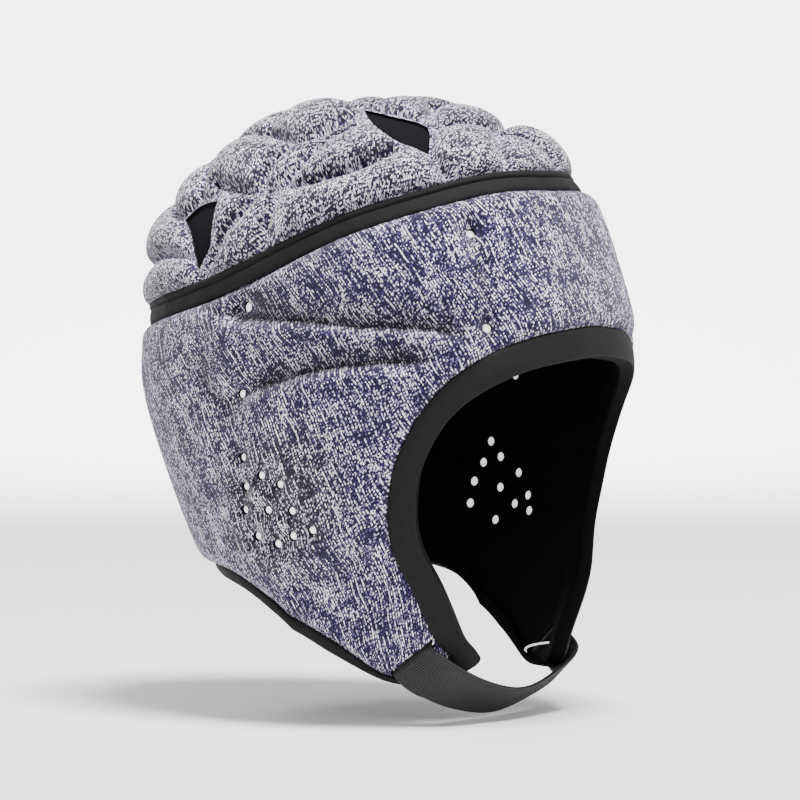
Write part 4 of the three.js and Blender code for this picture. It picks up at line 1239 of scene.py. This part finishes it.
def webbing_group():
    """Ribbed strap webbing: cords along it, crossed by slanted threads. Cloth is in millimetres."""
    tree, given = start_group("strap webbing", Cord=1.0, Dark=colour(1, 1, 1), Light=colour(74, 74, 75))
    across_cloth, along_cloth = split(given["Cloth"])
    cord = maths("DIVIDE", across_cloth, given["Cord"])
    thread = scaled(along_cloth, 1.25, cord)
    height = times(rounded(cord, 2.0), scaled(rounded(thread, 2.0), 0.7, 0.3))
    grain = noise(given["Cloth"], 1.6, 2.0, 0.7)
    share = times(height, scaled(grain, 0.8, 0.25))
    return end_group(tree, Color=mixed(share, given["Dark"], given["Light"]), Height=height)


def cloth_material(name, group, roughness, bump, sheen, stretch=False, **values):
    """A cloth finish from one of the groups, laid along the piece's own cloth coordinates."""
    material, shader = new_material(name, roughness, 0.2)
    tree = material.node_tree
    cloth = new_node(tree, "ShaderNodeUVMap", uv_map="cloth")
    # Each piece's stretch and its painted shade are read from its own attributes
    for socket in ("Stretch", "Hollow") if stretch else ():
        attribute = new_node(tree, "ShaderNodeAttribute", attribute_name=socket.lower())
        values[socket] = attribute.outputs["Fac"]
    weave = place_group(tree, group, Cloth=cloth.outputs[0], **values)
    feed(shader, "Base Color", weave.outputs["Color"])
    add_relief(shader, weave.outputs["Height"], bump, 0.0004)
    feed(shader, "Sheen Weight", sheen)
    feed(shader, "Sheen Roughness", 0.5)
    return material


def plain_cloth(name, dark, light, roughness, glow=0.0):
    """A fine cloth with a mesh grain taken from the object's own coordinates."""
    material, shader = new_material(name, roughness, 0.1)
    place = new_node(material.node_tree, "ShaderNodeTexCoord")
    grain = noise(place.outputs["Object"], 900.0, 2.0, 0.6)
    feed(shader, "Base Color", mixed(grain, dark, light))
    add_relief(shader, grain, 0.4, 0.0003)
    # A glow makes the cloth give off light of its own: painted light
    if glow:
        feed(shader, "Emission Color", (1, 1, 1, 1))
        feed(shader, "Emission Strength", glow)
    return material


def hole_discs(material):
    """White discs in each punched hole; their glowing material is painted light, standing for the light
    seen through the holes.
    """
    far = 50.0
    solids = []
    for angle, depth in hole_places():
        thick, _, _ = side_padding(angle, depth, far, far, 0)
        top = PAD_INSIDE + float(thick) - 0.4
        solids.append(prism(disc_rings(
            angle, depth, HOLE_DIAMETER / 2 - 0.4,
            [(PAD_INSIDE + 0.7, 1), (top - 0.25, 1), (top - 0.1, 0.9), (top, 0.6)])))
    discs = loose_mesh("glowing_hole_discs", solids)
    discs.data.materials.append(material)
    shade_smooth(discs.data)
    return take_slot(discs)


def slot_light_line(material):
    """A thin glowing white line with turned-down ends by the strap's slot, on the inside of the wearer's
    left flap: painted light where light shows through the slot.
    """
    route = [(65, 0.946), (66, 0.937), (64.5, 0.9335), (40.5, 0.949), (39, 0.9515), (39.2, 0.961)]
    line, _ = smooth_line([side_point(angle, depth, -0.35) for angle, depth in route], 8)
    curve = bpy.data.curves.new("slot_light_line_left", "CURVE")
    curve.dimensions = "3D"
    curve.bevel_depth = 0.00042
    curve.bevel_resolution = 3
    spline = curve.splines.new("POLY")
    spline.points.add(len(line) - 1)
    for spot, position in zip(spline.points, worn(line)):
        spot.co = (*position, 1)
    curve.materials.append(material)
    return take_slot(add_object("slot_light_line_left", curve))


# Studio sweep: distance from the middle and height over the floor, in metres
SWEEP = [(0.8, 0.0), (1.6, 0.0), (2.4, 0.03), (3.0, 0.16), (3.4, 0.42), (3.6, 0.8), (3.7, 1.3)]
CAP_MIDDLE = (0, 0, -0.12)


def studio(low):
    """A pale sweep just under the cap, and soft light from above."""
    floor_z = low - 0.002
    turns = 96
    points = np.array([[r * math.cos(t), r * math.sin(t), floor_z + z]
                       for r, z in SWEEP for t in np.linspace(0, 2 * np.pi, turns, endpoint=False)])
    mesh = bpy.data.meshes.new("studio_sweep")
    faces = grid_faces(len(SWEEP), turns)
    mesh.from_pydata(points.tolist(), [], faces.tolist() + [list(range(turns))])
    sweep = add_object("studio_sweep", mesh)
    shade_smooth(mesh)
    material, shader = new_material("pale floor", 0.9)
    feed(shader, "Base Color", (0.85, 0.85, 0.85, 1))
    mesh.materials.append(material)
    sweep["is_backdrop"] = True

    world = bpy.data.worlds.new("studio air")
    world.use_nodes = True
    air = world.node_tree.nodes["Background"].inputs
    air["Color"].default_value = (1, 1, 1, 1)
    air["Strength"].default_value = 0.32
    bpy.context.scene.world = world
    lamp("key", (-0.2, -0.7, 2.3), CAP_MIDDLE, size=0.9, power=180)
    lamp("fill", (-1.7, -1.3, 0.9), CAP_MIDDLE, size=1.6, power=14)
    lamp("back", (0.2, 1.5, 2.0), CAP_MIDDLE, size=1.0, power=25)
    lamp("wall", (1.2, 0.9, 1.2), (3.4, 2.6, 0.3), size=1.0, power=220)


def lamp(name, place, aim, size, power):
    light = bpy.data.lights.new(name, "AREA")
    light.shape = "DISK"
    light.size = size
    light.energy = power
    made = add_object(name, light)
    made.location = place
    made.rotation_euler = (Vector(aim) - Vector(place)).to_track_quat("-Z", "Y").to_euler()


def camera():
    """The camera at the angle of the photograph, far off with a long lens."""
    turn, lift = math.radians(-53.13), math.radians(2.5)
    aim_right, aim_down, distance = 0.01469, 0.05878, 2.0
    right = Vector((math.cos(turn), math.sin(turn), 0))
    back = Vector((math.sin(turn) * math.cos(lift), -math.cos(turn) * math.cos(lift), math.sin(lift)))
    up = back.cross(right)
    seam_centre = Vector(worn(np.zeros(3)))
    target = seam_centre + right * aim_right - up * aim_down
    eye = bpy.data.cameras.new("camera")
    eye.sensor_width = 36
    eye.lens = 220.5
    eye.clip_end = 50
    made = add_object("camera", eye)
    made.matrix_world = Matrix((right, up, back)).transposed().to_4x4()
    made.location = target + back * distance
    bpy.context.scene.camera = made


def lining_thickness(*where):
    """Thickness of a lining, which is nowhere stretched and has no painted shade."""
    flat = np.zeros(np.shape(where[0]))
    return flat + LINING_THICKNESS, flat, flat


def build():
    heather, weave, webbing = heather_group(), weave_group(), webbing_group()
    knit = cloth_material("side heather knit", heather, 0.85, 0.5, 0.15, stretch=True,
                          Rib=0.58, Course=0.5, Stitches=0.75, Streaks=1.1, Lightness=-0.03)
    crown_knit = cloth_material("crown heather knit", heather, 0.85, 0.5, 0.15, stretch=True,
                                Rib=0.62, Course=0.38, Stitches=0.9, Streaks=0.75, Lightness=0.02)
    tape = cloth_material("black folded tape", weave, 0.8, 0.35, 0.0)
    strap = cloth_material("black strap webbing", webbing, 0.75, 0.8, 0.0)
    raw = plain_cloth("raw foam edge", colour(10, 10, 11), colour(22, 22, 24), 0.9)
    inner = plain_cloth("black inner cloth", colour(1, 1, 1), colour(3, 3, 3), 0.95)
    top_inner = plain_cloth("black crown cloth", colour(6, 5, 8), colour(14, 12, 17), 0.95)
    # Glowing white, painted light: for the discs in the holes, the line by the slot and the model's mesh
    # parts
    glowing_white = plain_cloth("glowing white painted light", colour(242, 242, 240), colour(255, 255, 254), 0.9,
                        glow=0.9)

    spacing, rows = ((1.45, 144))
    around, rings = ((540, 140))
    punch = hole_cutter()
    vents = vent_cutter()

    side = side_layer("side_padding", PAD_INSIDE, side_padding, spacing, rows, 16, [knit])
    cut(side, punch, raw)
    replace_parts(side, "side_pad")

    crown = crown_layer("crown_padding", PAD_INSIDE, crown_padding, around, rings, 20, [crown_knit])
    cut(crown, vents, raw)
    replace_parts(crown, "crown_pad")

    side_cloth = side_layer("side_cloth", 0, lining_thickness, 4, 40, 40, [inner])
    cut(side_cloth, punch, inner)
    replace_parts(side_cloth, "side_lining")
    crown_cloth = crown_layer("crown_cloth", 0, lining_thickness, 160, 40, 40, [top_inner])
    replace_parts(crown_cloth, "crown_lining")

    for cutter in (punch, vents):
        bpy.data.objects.remove(cutter, do_unlink=True)

    columns = panel_columns(2.0)
    face = [c for c in columns if c["place"] < FACE_END]
    nape_left = [c for c in columns if c["place"] >= FACE_END and c["sign"] > 0]
    nape_right = [c for c in columns if c["place"] >= FACE_END and c["sign"] < 0]
    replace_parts(edge_binding("face_tape", face, [tape, inner]), "face_binding")
    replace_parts(edge_binding("nape_tape", nape_left + nape_right, [tape, inner]), "nape_binding")
    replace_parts(seam_band(tape), "crown_band")
    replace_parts(chin_strap(strap), "chin_strap")
    hole_discs(glowing_white)
    slot_light_line(glowing_white)

    # The model's mesh parts take the glowing white: painted light
    for name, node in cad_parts.items():
        if "_mesh_" in name:
            for i in range(len(node.data.materials)):
                node.data.materials[i] = glowing_white


build()
studio(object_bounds()[0].z)
camera()
